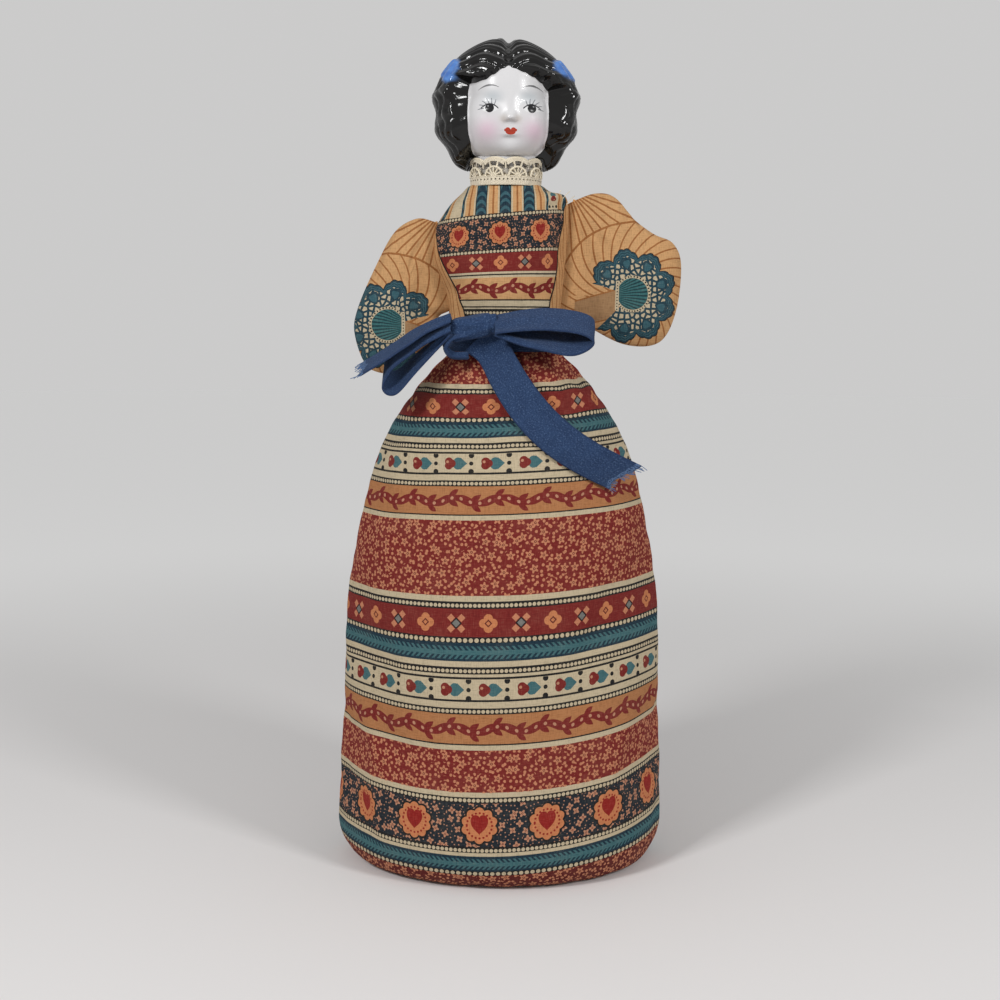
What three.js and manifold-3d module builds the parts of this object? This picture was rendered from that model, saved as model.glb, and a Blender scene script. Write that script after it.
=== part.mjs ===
// A sachet doll. A glazed china head is tied into a stuffed body of printed cotton, whose wide skirt
// holds a pouch of dried flowers and stands on a stiffened oval base. A cotton tape bow ties the waist.
// Millimetres, +Z up, with the origin at the middle of the base. The doll faces -Y.
import * as THREE from "three";
import { mergeVertices } from "three/addons/utils/BufferGeometryUtils.js";
import Module from "manifold-3d";

const wasm = await Module();
wasm.setup();

// Cloth and clearances
const CLOTH = 0.7;
const FIT = 0.3;
const SEAM_THREAD_RADIUS = 0.45;
const TAPE_WIDTH = 12.7;
const TAPE_THICKNESS = 0.8;

// Skirt, base and filling
const WAIST_HEIGHT = 184;
const WAIST_HALF_WIDTH = 19.2;
const HEM_HALF_WIDTH = 58.4;
const DEPTH_RATIO = 0.75;
const SKIRT_TAPER = 0.17;
const DOME_POWER = 6;
const HEM_ROLL_HEIGHT = 14;
const HEM_ROLL_INSET = 12;
const BASE_CARD_THICKNESS = 1.6;
const BASE_CARD_MARGIN = 1.2;
const POUCH_RADIUS = 21;
const POUCH_BASE_RADIUS = 17;
const POUCH_BULGE_HEIGHT = 18;
const POUCH_HEIGHT = 62;
const POUCH_NECK_RADIUS = 5;
const POUCH_RUFFLE_RADIUS = 8;
const POUCH_RUFFLE_HEIGHT = 9;
const POUCH_NECK_LENGTH = 3.2;
const POUCH_TIE_RADIUS = 0.8;

// Sash
const SASH_HEIGHT = 10;

// Bodice
const BODICE_LENGTH = 51;
const CHEST_DROP = 17;
const CHEST_HALF_WIDTH = 22.2;
const CHEST_HALF_DEPTH = 15.4;
const SHOULDER_DROP = 7;
const SHOULDER_POWER = 5;
const SHOULDER_RISE = 4;
const NECK_CLOTH_HEIGHT = 6.5;

const PLUG_DEPTH = 21;

// Arms, whose outlines run round from the top of the shoulder seam, as [outwards, upwards] from there
const ARM_SEAM_DROP = 7.5;
const ARM_SEAM_RISE = 4;
const ARM_HALF_THICKNESS = 8.5;
const ARM_PINCH_LENGTH = 15;
const ARM_PINCH_SHARE = 0.35;
const ARM_EDGE_POWER = 2.4;
const ARM_CROWN_POWER = 0.6;
const ARM_RING_SHARES = [1, 0.93, 0.78, 0.5];
const RIGHT_ARM_OUTLINE = [
  [6.5, 2.2],
  [13, 1],
  [20, -6.5],
  [27, -11.5],
  [33.5, -14.5],
  [36.5, -22],
  [35, -38],
  [29.5, -48.5],
  [18, -49.5],
  [6, -44],
];
const LEFT_ARM_OUTLINE = [
  [6, 1],
  [13.5, -3.5],
  [20, -15],
  [26.5, -30],
  [27.5, -39],
  [23, -50],
  [14, -52.5],
  [6.5, -51],
  [2.5, -45],
];

// China head
const NECK_RADIUS = 8.8;
const NECK_TUCK = 8.5;
const FLANGE_RADIUS = 10.6;
const FLANGE_HEIGHT = 2.4;
const NECK_BORE_RADIUS = 5.8;
const HEAD_RISE = 29;
const FACE_HALF_WIDTH = 14.8;
const FACE_HALF_DEPTH = 18;
const FACE_HALF_HEIGHT = 20.5;
const FACE_POWER = 2.2;
const FACE_WINDOW_HALF_WIDTH = 13.6;
const FACE_WINDOW_BLEND = 1.2;
const FACE_WINDOW_TURN = 0.35;
const HAIRLINE_PEAK = 12.5;
const HAIRLINE_FALL = 6;
const HAIR_HALF_WIDTH = 24.5;
const HAIR_HALF_DEPTH = 21;
const HAIR_LEVEL_POWER = 2.4;
const HAIR_TOP = 20.6;
const HAIR_TOP_POWER = 1.7;
const HAIR_DROP = 25.5;
const HAIR_DROP_POWER = 2.4;
const HAIR_LOCKS = 14;
const HAIR_LOCK_DEPTH = 0.6;
const HAIR_PART_DEPTH = 1.3;
const HAIR_PART_WIDTH = 3;
const CHINA_WALL = 3.5;

// Lace collar and neck tie
const NECK_TIE_RADIUS = 0.5;
const LACE_THICKNESS = 0.9;
const LACE_HEIGHT = 9;
const LACE_SCALLOPS = 9;
const LACE_SCALLOP_DEPTH = 1;

// Bow, whose loops leave the knot, turn round and come back, as [outwards, upwards] from the knot's side
const KNOT_OFFSET = -10.5;
const KNOT_RISE = 3.5;
const KNOT_HALF_WIDTH = 8;
const KNOT_HEIGHT = 7;
const KNOT_DEPTH = 6;
const TAPE_LEAN_DEGREES = 37;
const TAPE_GATHER = 0.45;
const LOOP_GATHER_SHARE = 0.3;
const LOOP_CLEARANCE = 0.8;
const SHORT_TAIL_RISE = 2;
const SHORT_TAIL_GATHER_SHARE = 0.5;
const LONG_TAIL_LENGTH = 60;
const LONG_TAIL_SLANT_DEGREES = 45;
const LONG_TAIL_SAG = 6;
const LONG_TAIL_STANDOFF = 1.4;
const LONG_TAIL_GATHER = 0.75;
const LONG_TAIL_GATHER_SHARE = 0.4;
const RIGHT_LOOP = [
  [0, 0.9],
  [11.5, 2.6],
  [24.5, 2.2],
  [31.5, -1.5],
  [25, -5.2],
  [11.5, -3.8],
  [0, -0.9],
];
const LEFT_LOOP = [
  [0, 0.9],
  [9, -3.8],
  [17, -9.8],
  [21, -16.5],
  [16.5, -18.5],
  [8.5, -10],
  [0, -0.9],
];
const SHORT_TAIL = [
  [0, 0.9],
  [9, -3.5],
  [18, -9.8],
  [28, -16],
];

// Facets
const BODY_COLUMNS = 16;
const ARM_RIM_STEPS = 20;
const ARM_SEAM_STEPS = 4;
const TAPE_STEPS = 14;
const HEAD_COLUMNS = 40;
const HEAD_ROWS = 26;
const ROUND_SEGMENTS = 28;
const THREAD_SIDES = 6;
const LACE_COLUMNS_PER_SCALLOP = 4;

// What follows from the driving dimensions
const SKIRT_TOP = WAIST_HEIGHT - SASH_HEIGHT / 2;
const SASH_TOP = WAIST_HEIGHT + SASH_HEIGHT / 2;
const NECKLINE_HEIGHT = WAIST_HEIGHT + BODICE_LENGTH;
const CHEST_HEIGHT = NECKLINE_HEIGHT - CHEST_DROP;
const SHOULDER_HEIGHT = NECKLINE_HEIGHT - SHOULDER_DROP;
const ARM_SEAM_TOP = NECKLINE_HEIGHT - ARM_SEAM_DROP;
const ARM_SEAM_BOTTOM = SASH_TOP + ARM_SEAM_RISE;
const NECK_BOTTOM = NECKLINE_HEIGHT - NECK_TUCK;
const HEAD_CENTRE_HEIGHT = NECKLINE_HEIGHT + HEAD_RISE;
const NECK_CLOTH_RADIUS = NECK_RADIUS + FIT + CLOTH;
const NECK_CLOTH_TOP = NECKLINE_HEIGHT + NECK_CLOTH_HEIGHT;
const NECK_TIE_RING_RADIUS = NECK_CLOTH_RADIUS + FIT + NECK_TIE_RADIUS;
const LACE_INNER_RADIUS = NECK_TIE_RING_RADIUS + NECK_TIE_RADIUS + FIT;
const LACE_OUTER_RADIUS = LACE_INNER_RADIUS + LACE_THICKNESS;
const LACE_BOTTOM = NECKLINE_HEIGHT + FIT;
const LACE_TOP = LACE_BOTTOM + LACE_HEIGHT;
const CARD_TOP = CLOTH + FIT + BASE_CARD_THICKNESS;
const SASH_INNER_WIDTH = WAIST_HALF_WIDTH + FIT;
const SASH_INNER_DEPTH = WAIST_HALF_WIDTH * DEPTH_RATIO + FIT;
const KNOT_HEIGHT_ABOVE_BASE = WAIST_HEIGHT + KNOT_RISE;

function smoothstep(from, to, value) {
  return THREE.MathUtils.smoothstep(value, from, to);
}

// Geometry helpers

function bufferGeometry(points, triangles) {
  const geometry = new THREE.BufferGeometry();
  const coordinates = points.flatMap((point) => [point.x, point.y, point.z]);
  geometry.setAttribute("position", new THREE.Float32BufferAttribute(coordinates, 3));
  geometry.setIndex(triangles);
  return geometry;
}

function quad(triangles, a, b, c, d) {
  triangles.push(a, b, c, a, c, d);
}

// A solid through a stack of rings with equally many points, closed by a flat fan at each end.
function loft(rings) {
  const count = rings[0].length;
  const points = rings.flat();
  const triangles = [];
  for (let row = 0; row + 1 < rings.length; row++) {
    for (let i = 0; i < count; i++) {
      const next = (i + 1) % count;
      const below = row * count;
      quad(triangles, below + i, below + next, below + count + next, below + count + i);
    }
  }
  for (const [ring, first, turn] of [
    [rings[0], 0, 1],
    [rings.at(-1), (rings.length - 1) * count, 0],
  ]) {
    const centre = points.length;
    const middle = new THREE.Vector3();
    ring.forEach((point) => middle.addScaledVector(point, 1 / count));
    points.push(middle);
    for (let i = 0; i < count; i++) {
      const next = (i + 1) % count;
      triangles.push(centre, first + (turn ? next : i), first + (turn ? i : next));
    }
  }
  return facingOut(bufferGeometry(points, triangles));
}

// A sheet of cloth between an outer and an inner grid of points; a closed one meets itself at its sides.
function sheet(outer, inner, closed = false) {
  const rows = outer.length;
  const columns = outer[0].length;
  const points = [...outer.flat(), ...inner.flat()];
  const triangles = [];
  const out = (row, column) => row * columns + (column % columns);
  const back = (row, column) => rows * columns + out(row, column);
  const spans = closed ? columns : columns - 1;
  for (let row = 0; row + 1 < rows; row++) {
    for (let i = 0; i < spans; i++) {
      quad(triangles, out(row, i), out(row, i + 1), out(row + 1, i + 1), out(row + 1, i));
      quad(triangles, back(row, i), back(row + 1, i), back(row + 1, i + 1), back(row, i + 1));
    }
    if (!closed) {
      quad(triangles, out(row, 0), out(row + 1, 0), back(row + 1, 0), back(row, 0));
      const last = columns - 1;
      quad(triangles, out(row + 1, last), out(row, last), back(row, last), back(row + 1, last));
    }
  }
  for (let i = 0; i < spans; i++) {
    const top = rows - 1;
    quad(triangles, out(0, i), back(0, i), back(0, i + 1), out(0, i + 1));
    quad(triangles, out(top, i), out(top, i + 1), back(top, i + 1), back(top, i));
  }
  return facingOut(bufferGeometry(points, triangles));
}

// Half a pillow case: rings from the rim inwards on the outside and on the inside, joined at the rim.
function pillowHalf(outerRings, outerCentre, innerRings, innerCentre) {
  const count = outerRings[0].length;
  const points = [...outerRings.flat(), outerCentre, ...innerRings.flat(), innerCentre];
  const triangles = [];
  const innerFirst = outerRings.length * count + 1;
  for (let i = 0; i < count; i++) {
    const next = (i + 1) % count;
    for (const [first, rings, turn] of [
      [0, outerRings, 0],
      [innerFirst, innerRings, 1],
    ]) {
      const [a, b] = turn ? [next, i] : [i, next];
      for (let ring = 0; ring + 1 < rings.length; ring++) {
        const row = first + ring * count;
        quad(triangles, row + a, row + b, row + count + b, row + count + a);
      }
      const last = first + (rings.length - 1) * count;
      triangles.push(last + a, last + b, last + count);
    }
    quad(triangles, i, innerFirst + i, innerFirst + next, next);
  }
  return facingOut(bufferGeometry(points, triangles));
}

function signedVolume(geometry) {
  const position = geometry.getAttribute("position");
  const corners = [new THREE.Vector3(), new THREE.Vector3(), new THREE.Vector3()];
  let volume = 0;
  for (let i = 0; i < geometry.index.count; i += 3) {
    corners.forEach((corner, k) => corner.fromBufferAttribute(position, geometry.index.getX(i + k)));
    volume += corners[0].dot(corners[1].cross(corners[2])) / 6;
  }
  return volume;
}

function facingOut(geometry) {
  if (signedVolume(geometry) < 0) {
    const order = geometry.index.array;
    for (let i = 0; i < order.length; i += 3) {
      [order[i + 1], order[i + 2]] = [order[i + 2], order[i + 1]];
    }
  }
  return geometry;
}

function solidOf(geometry) {
  const bare = geometry.clone();
  bare.deleteAttribute("normal");
  bare.deleteAttribute("uv");
  const merged = mergeVertices(bare, 1e-4);
  const order = merged.index.array;
  const triVerts = [];
  for (let i = 0; i < order.length; i += 3) {
    const corners = [order[i], order[i + 1], order[i + 2]];
    if (new Set(corners).size === 3) {
      triVerts.push(...corners);
    }
  }
  const mesh = new wasm.Mesh({
    numProp: 3,
    vertProperties: merged.getAttribute("position").array,
    triVerts: new Uint32Array(triVerts),
  });
  return new wasm.Manifold(mesh);
}

function geometryOf(solid) {
  const mesh = solid.getMesh();
  const geometry = new THREE.BufferGeometry();
  geometry.setAttribute("position", new THREE.BufferAttribute(mesh.vertProperties, 3));
  geometry.setIndex(new THREE.BufferAttribute(mesh.triVerts, 1));
  return geometry;
}

// A round solid about the Z axis from a profile of [radius, height] pairs that starts and ends on the axis.
function turned(profile) {
  const points = profile.map(([radius, height]) => new THREE.Vector2(radius, height));
  return new THREE.LatheGeometry(points, ROUND_SEGMENTS).rotateX(Math.PI / 2);
}

function threadRing(ringRadius, threadRadius, height) {
  const ring = new THREE.TorusGeometry(ringRadius, threadRadius, THREAD_SIDES, ROUND_SEGMENTS);
  return ring.translate(0, 0, height);
}

function oval(halfWidth, halfDepth, height, angle) {
  return new THREE.Vector3(halfWidth * Math.cos(angle), halfDepth * Math.sin(angle), height);
}

function ovalRing(halfWidth, halfDepth, height, count) {
  const step = (2 * Math.PI) / count;
  return Array.from({ length: count }, (_, i) => oval(halfWidth, halfDepth, height, i * step));
}

// One row of a front or back panel, which stops short of the side seams by half the seam's gap.
function panelRow(halfWidth, halfDepth, height, front) {
  const gap = FIT / 2 / halfDepth;
  const start = (front ? Math.PI : 0) + gap;
  const sweep = Math.PI - 2 * gap;
  return Array.from({ length: BODY_COLUMNS + 1 }, (_, i) =>
    oval(halfWidth, halfDepth, height, start + (i / BODY_COLUMNS) * sweep),
  );
}

// Skirt: a bell that rolls under at the hem and is drawn in to the waist

function skirtHalfWidth(height) {
  const share = Math.min(height / SKIRT_TOP, 1);
  const fullness = (1 - SKIRT_TAPER * share) * (1 - share ** DOME_POWER);
  return WAIST_HALF_WIDTH + (HEM_HALF_WIDTH - WAIST_HALF_WIDTH) * fullness;
}

// Profile points from the base seam to the waist, each with its outward normal.
function skirtProfile() {
  const rollSteps = 4;
  const riseSteps = 11;
  const rollTop = skirtHalfWidth(HEM_ROLL_HEIGHT);
  const points = [];
  for (let i = 0; i < rollSteps; i++) {
    const angle = (i / rollSteps) * (Math.PI / 2);
    const width = rollTop - HEM_ROLL_INSET * (1 - Math.sin(angle));
    points.push(new THREE.Vector2(width, HEM_ROLL_HEIGHT * (1 - Math.cos(angle))));
  }
  for (let i = 0; i <= riseSteps; i++) {
    const share = Math.sin((i / riseSteps) * (Math.PI / 2));
    const height = HEM_ROLL_HEIGHT + (SKIRT_TOP - HEM_ROLL_HEIGHT) * share;
    points.push(new THREE.Vector2(skirtHalfWidth(height), height));
  }
  points.push(new THREE.Vector2(WAIST_HALF_WIDTH, WAIST_HEIGHT - FIT / 2));
  return points.map((point, i) => {
    const before = points[Math.max(i - 1, 0)];
    const after = points[Math.min(i + 1, points.length - 1)];
    const along = after.clone().sub(before).normalize();
    return { width: point.x, height: point.y, out: along.y, up: -along.x };
  });
}

function skirtRow(point, inset) {
  return {
    width: point.width - inset * point.out,
    depth: point.width * DEPTH_RATIO - inset * point.out,
    height: Math.min(point.height - inset * point.up, WAIST_HEIGHT - FIT / 2),
  };
}

function skirtPanel(front) {
  const grid = (inset) =>
    skirtProfile().map((point) => {
      const row = skirtRow(point, inset);
      return panelRow(row.width, row.depth, row.height, front);
    });
  return sheet(grid(0), grid(CLOTH));
}

const baseHalfWidth = skirtHalfWidth(HEM_ROLL_HEIGHT) - HEM_ROLL_INSET - FIT;
const baseHalfDepth = skirtProfile()[0].width * DEPTH_RATIO - FIT;

function ovalPlate(margin, bottom, top) {
  const columns = 2 * BODY_COLUMNS;
  return loft([
    ovalRing(baseHalfWidth - margin, baseHalfDepth - margin, bottom, columns),
    ovalRing(baseHalfWidth - margin, baseHalfDepth - margin, top, columns),
  ]);
}

// The pouch: a flat-bottomed bag drawn in to a tied neck, with a ruffle of spare cloth above the tie.
const pouchBottom = CARD_TOP + FIT;
const pouchNeckBottom = pouchBottom + POUCH_HEIGHT;
const pouchNeckTop = pouchNeckBottom + POUCH_NECK_LENGTH;
const pouchTop = pouchNeckTop + POUCH_RUFFLE_HEIGHT;
const pouchTieRingRadius = POUCH_NECK_RADIUS + FIT + POUCH_TIE_RADIUS;

function pouchSide(radius, neckRadius) {
  const steps = 6;
  const bulge = pouchBottom + POUCH_BULGE_HEIGHT;
  return Array.from({ length: steps + 1 }, (_, i) => {
    const angle = (i / steps) * (Math.PI / 2);
    const height = bulge + (pouchNeckBottom - bulge) * Math.sin(angle);
    return [neckRadius + (radius - neckRadius) * Math.cos(angle), height];
  });
}

function scentPouch() {
  return turned([
    [0, pouchBottom],
    [POUCH_BASE_RADIUS, pouchBottom],
    ...pouchSide(POUCH_RADIUS, POUCH_NECK_RADIUS),
    [POUCH_NECK_RADIUS, pouchNeckTop],
    [POUCH_RUFFLE_RADIUS, pouchTop],
    [0, pouchTop],
  ]);
}

function pouchTie() {
  return threadRing(pouchTieRingRadius, POUCH_TIE_RADIUS, (pouchNeckBottom + pouchNeckTop) / 2);
}

function pouchHollow() {
  const neckRoom = Math.max(pouchTieRingRadius + POUCH_TIE_RADIUS, POUCH_RUFFLE_RADIUS) + FIT;
  return turned([
    [0, CARD_TOP],
    [POUCH_RADIUS + FIT, CARD_TOP],
    ...pouchSide(POUCH_RADIUS + FIT, neckRoom),
    [neckRoom, pouchTop + FIT],
    [0, pouchTop + FIT],
  ]);
}

function skirtStuffing() {
  const inset = CLOTH + FIT;
  const bottom = CARD_TOP + FIT;
  const columns = 2 * BODY_COLUMNS;
  const rows = skirtProfile().map((point) => skirtRow(point, inset));
  const above = rows.filter((row) => row.height > bottom + FIT);
  const below = rows[rows.indexOf(above[0]) - 1];
  const climb = (bottom - below.height) / (above[0].height - below.height);
  const first = {
    width: THREE.MathUtils.lerp(below.width, above[0].width, climb),
    depth: THREE.MathUtils.lerp(below.depth, above[0].depth, climb),
    height: bottom,
  };
  const bell = loft([first, ...above].map((row) => ovalRing(row.width, row.depth, row.height, columns)));
  return geometryOf(solidOf(bell).subtract(solidOf(pouchHollow())));
}

// Bodice: drawn in at the sash, full at the chest, rounded over the shoulders into the neck

function bodiceRow(height, inset) {
  const chest = smoothstep(SASH_TOP, CHEST_HEIGHT, height);
  const climb = THREE.MathUtils.clamp((height - CHEST_HEIGHT) / (NECKLINE_HEIGHT - CHEST_HEIGHT), 0, 1);
  const round = 1 - climb ** SHOULDER_POWER;
  const waistDepth = WAIST_HALF_WIDTH * DEPTH_RATIO;
  const fullWidth = WAIST_HALF_WIDTH + (CHEST_HALF_WIDTH - WAIST_HALF_WIDTH) * chest;
  const fullDepth = waistDepth + (CHEST_HALF_DEPTH - waistDepth) * chest;
  return {
    width: NECK_CLOTH_RADIUS + (fullWidth - NECK_CLOTH_RADIUS) * round - inset,
    depth: NECK_CLOTH_RADIUS + (fullDepth - NECK_CLOTH_RADIUS) * round - inset,
    height,
  };
}

function bodiceHeights(top) {
  const waistRows = [WAIST_HEIGHT + FIT / 2, SASH_TOP];
  const chestRows = [1, 2, 3].map((i) => SASH_TOP + ((CHEST_HEIGHT - SASH_TOP) * i) / 3);
  const shoulderRows = [1, 2, 3, 4, 5].map(
    (i) => CHEST_HEIGHT + (NECKLINE_HEIGHT - CHEST_HEIGHT) * Math.sin((i / 5) * (Math.PI / 2)),
  );
  const rows = [...waistRows, ...chestRows, ...shoulderRows, NECK_CLOTH_TOP];
  return [...rows.filter((height) => height < top - FIT), top];
}

// The stuffing has settled to one side, so one shoulder stands higher than the other.
function shoulderLift(x, height) {
  const rising = smoothstep(SASH_TOP, SHOULDER_HEIGHT, height);
  const falling = 1 - smoothstep(SHOULDER_HEIGHT, NECKLINE_HEIGHT, height);
  return SHOULDER_RISE * (x / CHEST_HALF_WIDTH) * rising * falling;
}

function settle(point) {
  point.z += shoulderLift(point.x, point.z);
  return point;
}

function bodicePanel(front) {
  const grid = (inset) =>
    bodiceHeights(NECK_CLOTH_TOP).map((height) => {
      const row = bodiceRow(height, inset);
      return panelRow(row.width, row.depth, height, front).map(settle);
    });
  return sheet(grid(0), grid(CLOTH));
}

function torsoStuffing() {
  const inset = CLOTH + FIT;
  const top = NECK_BOTTOM - FIT;
  const rings = bodiceHeights(top).map((height) => {
    const row = bodiceRow(height, inset);
    return ovalRing(row.width, row.depth, height, 2 * BODY_COLUMNS).map(settle);
  });
  const trimmed = rings.map((ring) =>
    ring.map((point) => new THREE.Vector3(point.x, point.y, Math.min(point.z, top))),
  );
  const plugRadius = NECK_BORE_RADIUS - FIT;
  const plugBottom = NECKLINE_HEIGHT - PLUG_DEPTH;
  const plug = turned([
    [0, plugBottom],
    [plugRadius, plugBottom],
    [plugRadius, NECKLINE_HEIGHT],
    [0, NECKLINE_HEIGHT],
  ]);
  return geometryOf(solidOf(loft(trimmed)).add(solidOf(plug)));
}

// Arms: puffed sleeves, sewn flat to the bodice along a straight seam that they swing on.

// The straight line in the XZ plane that clears the bodice's side, from the seam's bottom to its top.
function armSeam(side) {
  const at = (height) => {
    const width = bodiceRow(height, 0).width;
    return new THREE.Vector2(width, height + shoulderLift(side * width, height));
  };
  const bottom = at(ARM_SEAM_BOTTOM);
  const top = at(ARM_SEAM_TOP);
  const along = top.clone().sub(bottom).normalize();
  const out = new THREE.Vector2(along.y, -along.x);
  const samples = 12;
  let bulge = 0;
  for (let i = 0; i <= samples; i++) {
    const height = ARM_SEAM_BOTTOM + ((ARM_SEAM_TOP - ARM_SEAM_BOTTOM) * i) / samples;
    bulge = Math.max(bulge, at(height).sub(bottom).dot(out));
  }
  const clear = bulge + FIT + SEAM_THREAD_RADIUS;
  return { bottom: bottom.addScaledVector(out, clear), top: top.addScaledVector(out, clear), out };
}

function armRim(side) {
  const seam = armSeam(side);
  const clear = SEAM_THREAD_RADIUS + FIT;
  const top = seam.top.clone().addScaledVector(seam.out, clear);
  const bottom = seam.bottom.clone().addScaledVector(seam.out, clear);
  const outline = side > 0 ? RIGHT_ARM_OUTLINE : LEFT_ARM_OUTLINE;
  const through = [top, ...outline.map(([out, up]) => new THREE.Vector2(top.x + out, top.y + up)), bottom];
  const curve = new THREE.SplineCurve(through);
  const rim = curve.getPoints(ARM_RIM_STEPS);
  for (let i = 1; i < ARM_SEAM_STEPS; i++) {
    rim.push(bottom.clone().lerp(top, i / ARM_SEAM_STEPS));
  }
  const centre = new THREE.Vector2();
  rim.forEach((point) => centre.addScaledVector(point, 1 / rim.length));
  return { rim, centre, seam };
}

// One ring of the arm's swelling surface, and the place of its middle when share is 0.
function armRing(arm, side, share, inset, lift, face) {
  return arm.rim.map((point) => {
    const spoke = point.clone().sub(arm.centre);
    const length = spoke.length();
    const place = arm.centre.clone().addScaledVector(spoke, (share * (length - inset)) / length);
    const fromSeam = place.clone().sub(arm.seam.bottom).dot(arm.seam.out);
    const pinch = ARM_PINCH_SHARE + (1 - ARM_PINCH_SHARE) * smoothstep(0, ARM_PINCH_LENGTH, fromSeam);
    const swell = (ARM_HALF_THICKNESS - inset) * pinch * (1 - share ** ARM_EDGE_POWER) ** ARM_CROWN_POWER;
    return new THREE.Vector3(side * place.x, face * (lift + swell), place.y);
  });
}

function sleevePanel(side, front) {
  const arm = armRim(side);
  const face = front ? -1 : 1;
  const rings = (inset) => ARM_RING_SHARES.map((share) => armRing(arm, side, share, inset, FIT / 2, face));
  const centre = (inset) => armRing(arm, side, 0, inset, FIT / 2, face)[0];
  return pillowHalf(rings(0), centre(0), rings(CLOTH), centre(CLOTH));
}

function armStuffing(side) {
  const arm = armRim(side);
  const inset = CLOTH + FIT;
  const inner = ARM_RING_SHARES.slice(1);
  const frontRings = inner.map((share) => armRing(arm, side, share, inset, 0, -1)).reverse();
  const rim = armRing(arm, side, 1, inset, 0, 1);
  const backRings = inner.map((share) => armRing(arm, side, share, inset, 0, 1));
  return loft([...frontRings, rim, ...backRings]);
}

function seamThread(side) {
  const seam = armSeam(side);
  const middle = seam.top.clone().add(seam.bottom).multiplyScalar(0.5);
  const length = seam.top.distanceTo(seam.bottom);
  const lean = Math.atan2(seam.top.x - seam.bottom.x, seam.top.y - seam.bottom.y);
  return new THREE.CylinderGeometry(SEAM_THREAD_RADIUS, SEAM_THREAD_RADIUS, length, THREAD_SIDES)
    .rotateX(Math.PI / 2)
    .rotateY(side * lean)
    .translate(side * middle.x, 0, middle.y);
}

// China head: a face framed by parted hair in soft locks, hollow, on a flanged neck

function superRadius(direction, halfWidth, halfDepth, halfHeight, power, levelPower = power) {
  const level =
    Math.abs(direction.x / halfWidth) ** levelPower +
    Math.abs(direction.y / halfDepth) ** levelPower;
  const sum = level ** (power / levelPower) + Math.abs(direction.z / halfHeight) ** power;
  return sum ** (-1 / power);
}

function headRadius(direction) {
  const face = superRadius(direction, FACE_HALF_WIDTH, FACE_HALF_DEPTH, FACE_HALF_HEIGHT, FACE_POWER);
  const [hairHeight, hairPower] = direction.z > 0 ? [HAIR_TOP, HAIR_TOP_POWER] : [HAIR_DROP, HAIR_DROP_POWER];
  const azimuth = Math.atan2(direction.y, direction.x);
  const level = Math.sqrt(1 - direction.z ** 2);
  const locks = HAIR_LOCK_DEPTH * level * Math.cos(HAIR_LOCKS * azimuth);
  const across = direction.x * HAIR_HALF_WIDTH;
  const part = HAIR_PART_DEPTH * Math.exp(-((across / HAIR_PART_WIDTH) ** 2)) * Math.max(direction.z, 0);
  const bun = superRadius(direction, HAIR_HALF_WIDTH, HAIR_HALF_DEPTH, hairHeight, hairPower, HAIR_LEVEL_POWER);
  const hair = bun + locks - part;
  const x = direction.x * face;
  const z = direction.z * face;
  const hairline = HAIRLINE_PEAK - HAIRLINE_FALL * (x / FACE_WINDOW_HALF_WIDTH) ** 2;
  const blend = FACE_WINDOW_BLEND;
  const sides = 1 - smoothstep(FACE_WINDOW_HALF_WIDTH - blend, FACE_WINDOW_HALF_WIDTH + blend, Math.abs(x));
  const below = 1 - smoothstep(hairline - blend, hairline + blend, z);
  const front = 1 - smoothstep(-FACE_WINDOW_TURN, 0, direction.y);
  return THREE.MathUtils.lerp(Math.max(hair, face), face, sides * below * front);
}

function headShell() {
  const geometry = new THREE.SphereGeometry(1, HEAD_COLUMNS, HEAD_ROWS).rotateX(Math.PI / 2);
  const position = geometry.getAttribute("position");
  const direction = new THREE.Vector3();
  for (let i = 0; i < position.count; i++) {
    direction.fromBufferAttribute(position, i).normalize();
    direction.multiplyScalar(headRadius(direction.clone()));
    position.setXYZ(i, direction.x, direction.y, direction.z + HEAD_CENTRE_HEIGHT);
  }
  return geometry;
}

function chinaHead() {
  const flangeTop = NECK_BOTTOM + FLANGE_HEIGHT;
  const neck = turned([
    [0, NECK_BOTTOM],
    [FLANGE_RADIUS, NECK_BOTTOM],
    [FLANGE_RADIUS, flangeTop],
    [NECK_RADIUS, flangeTop],
    [NECK_RADIUS, HEAD_CENTRE_HEIGHT],
    [0, HEAD_CENTRE_HEIGHT],
  ]);
  const collarRoom = turned([
    [0, NECK_BOTTOM],
    [LACE_OUTER_RADIUS + FIT, NECK_BOTTOM],
    [LACE_OUTER_RADIUS + FIT, LACE_TOP + FIT],
    [0, LACE_TOP + FIT],
  ]);
  const bore = turned([
    [0, NECK_BOTTOM - FIT],
    [NECK_BORE_RADIUS, NECK_BOTTOM - FIT],
    [NECK_BORE_RADIUS, HEAD_CENTRE_HEIGHT],
    [0, HEAD_CENTRE_HEIGHT],
  ]);
  const cavity = new THREE.SphereGeometry(1, 20, 12)
    .rotateX(Math.PI / 2)
    .scale(FACE_HALF_WIDTH - CHINA_WALL, FACE_HALF_DEPTH - CHINA_WALL, FACE_HALF_HEIGHT - CHINA_WALL)
    .translate(0, 0, HEAD_CENTRE_HEIGHT);
  const outside = solidOf(headShell()).subtract(solidOf(collarRoom)).add(solidOf(neck));
  return geometryOf(outside.subtract(solidOf(bore)).subtract(solidOf(cavity)));
}

// Lace collar and neck tie

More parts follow.
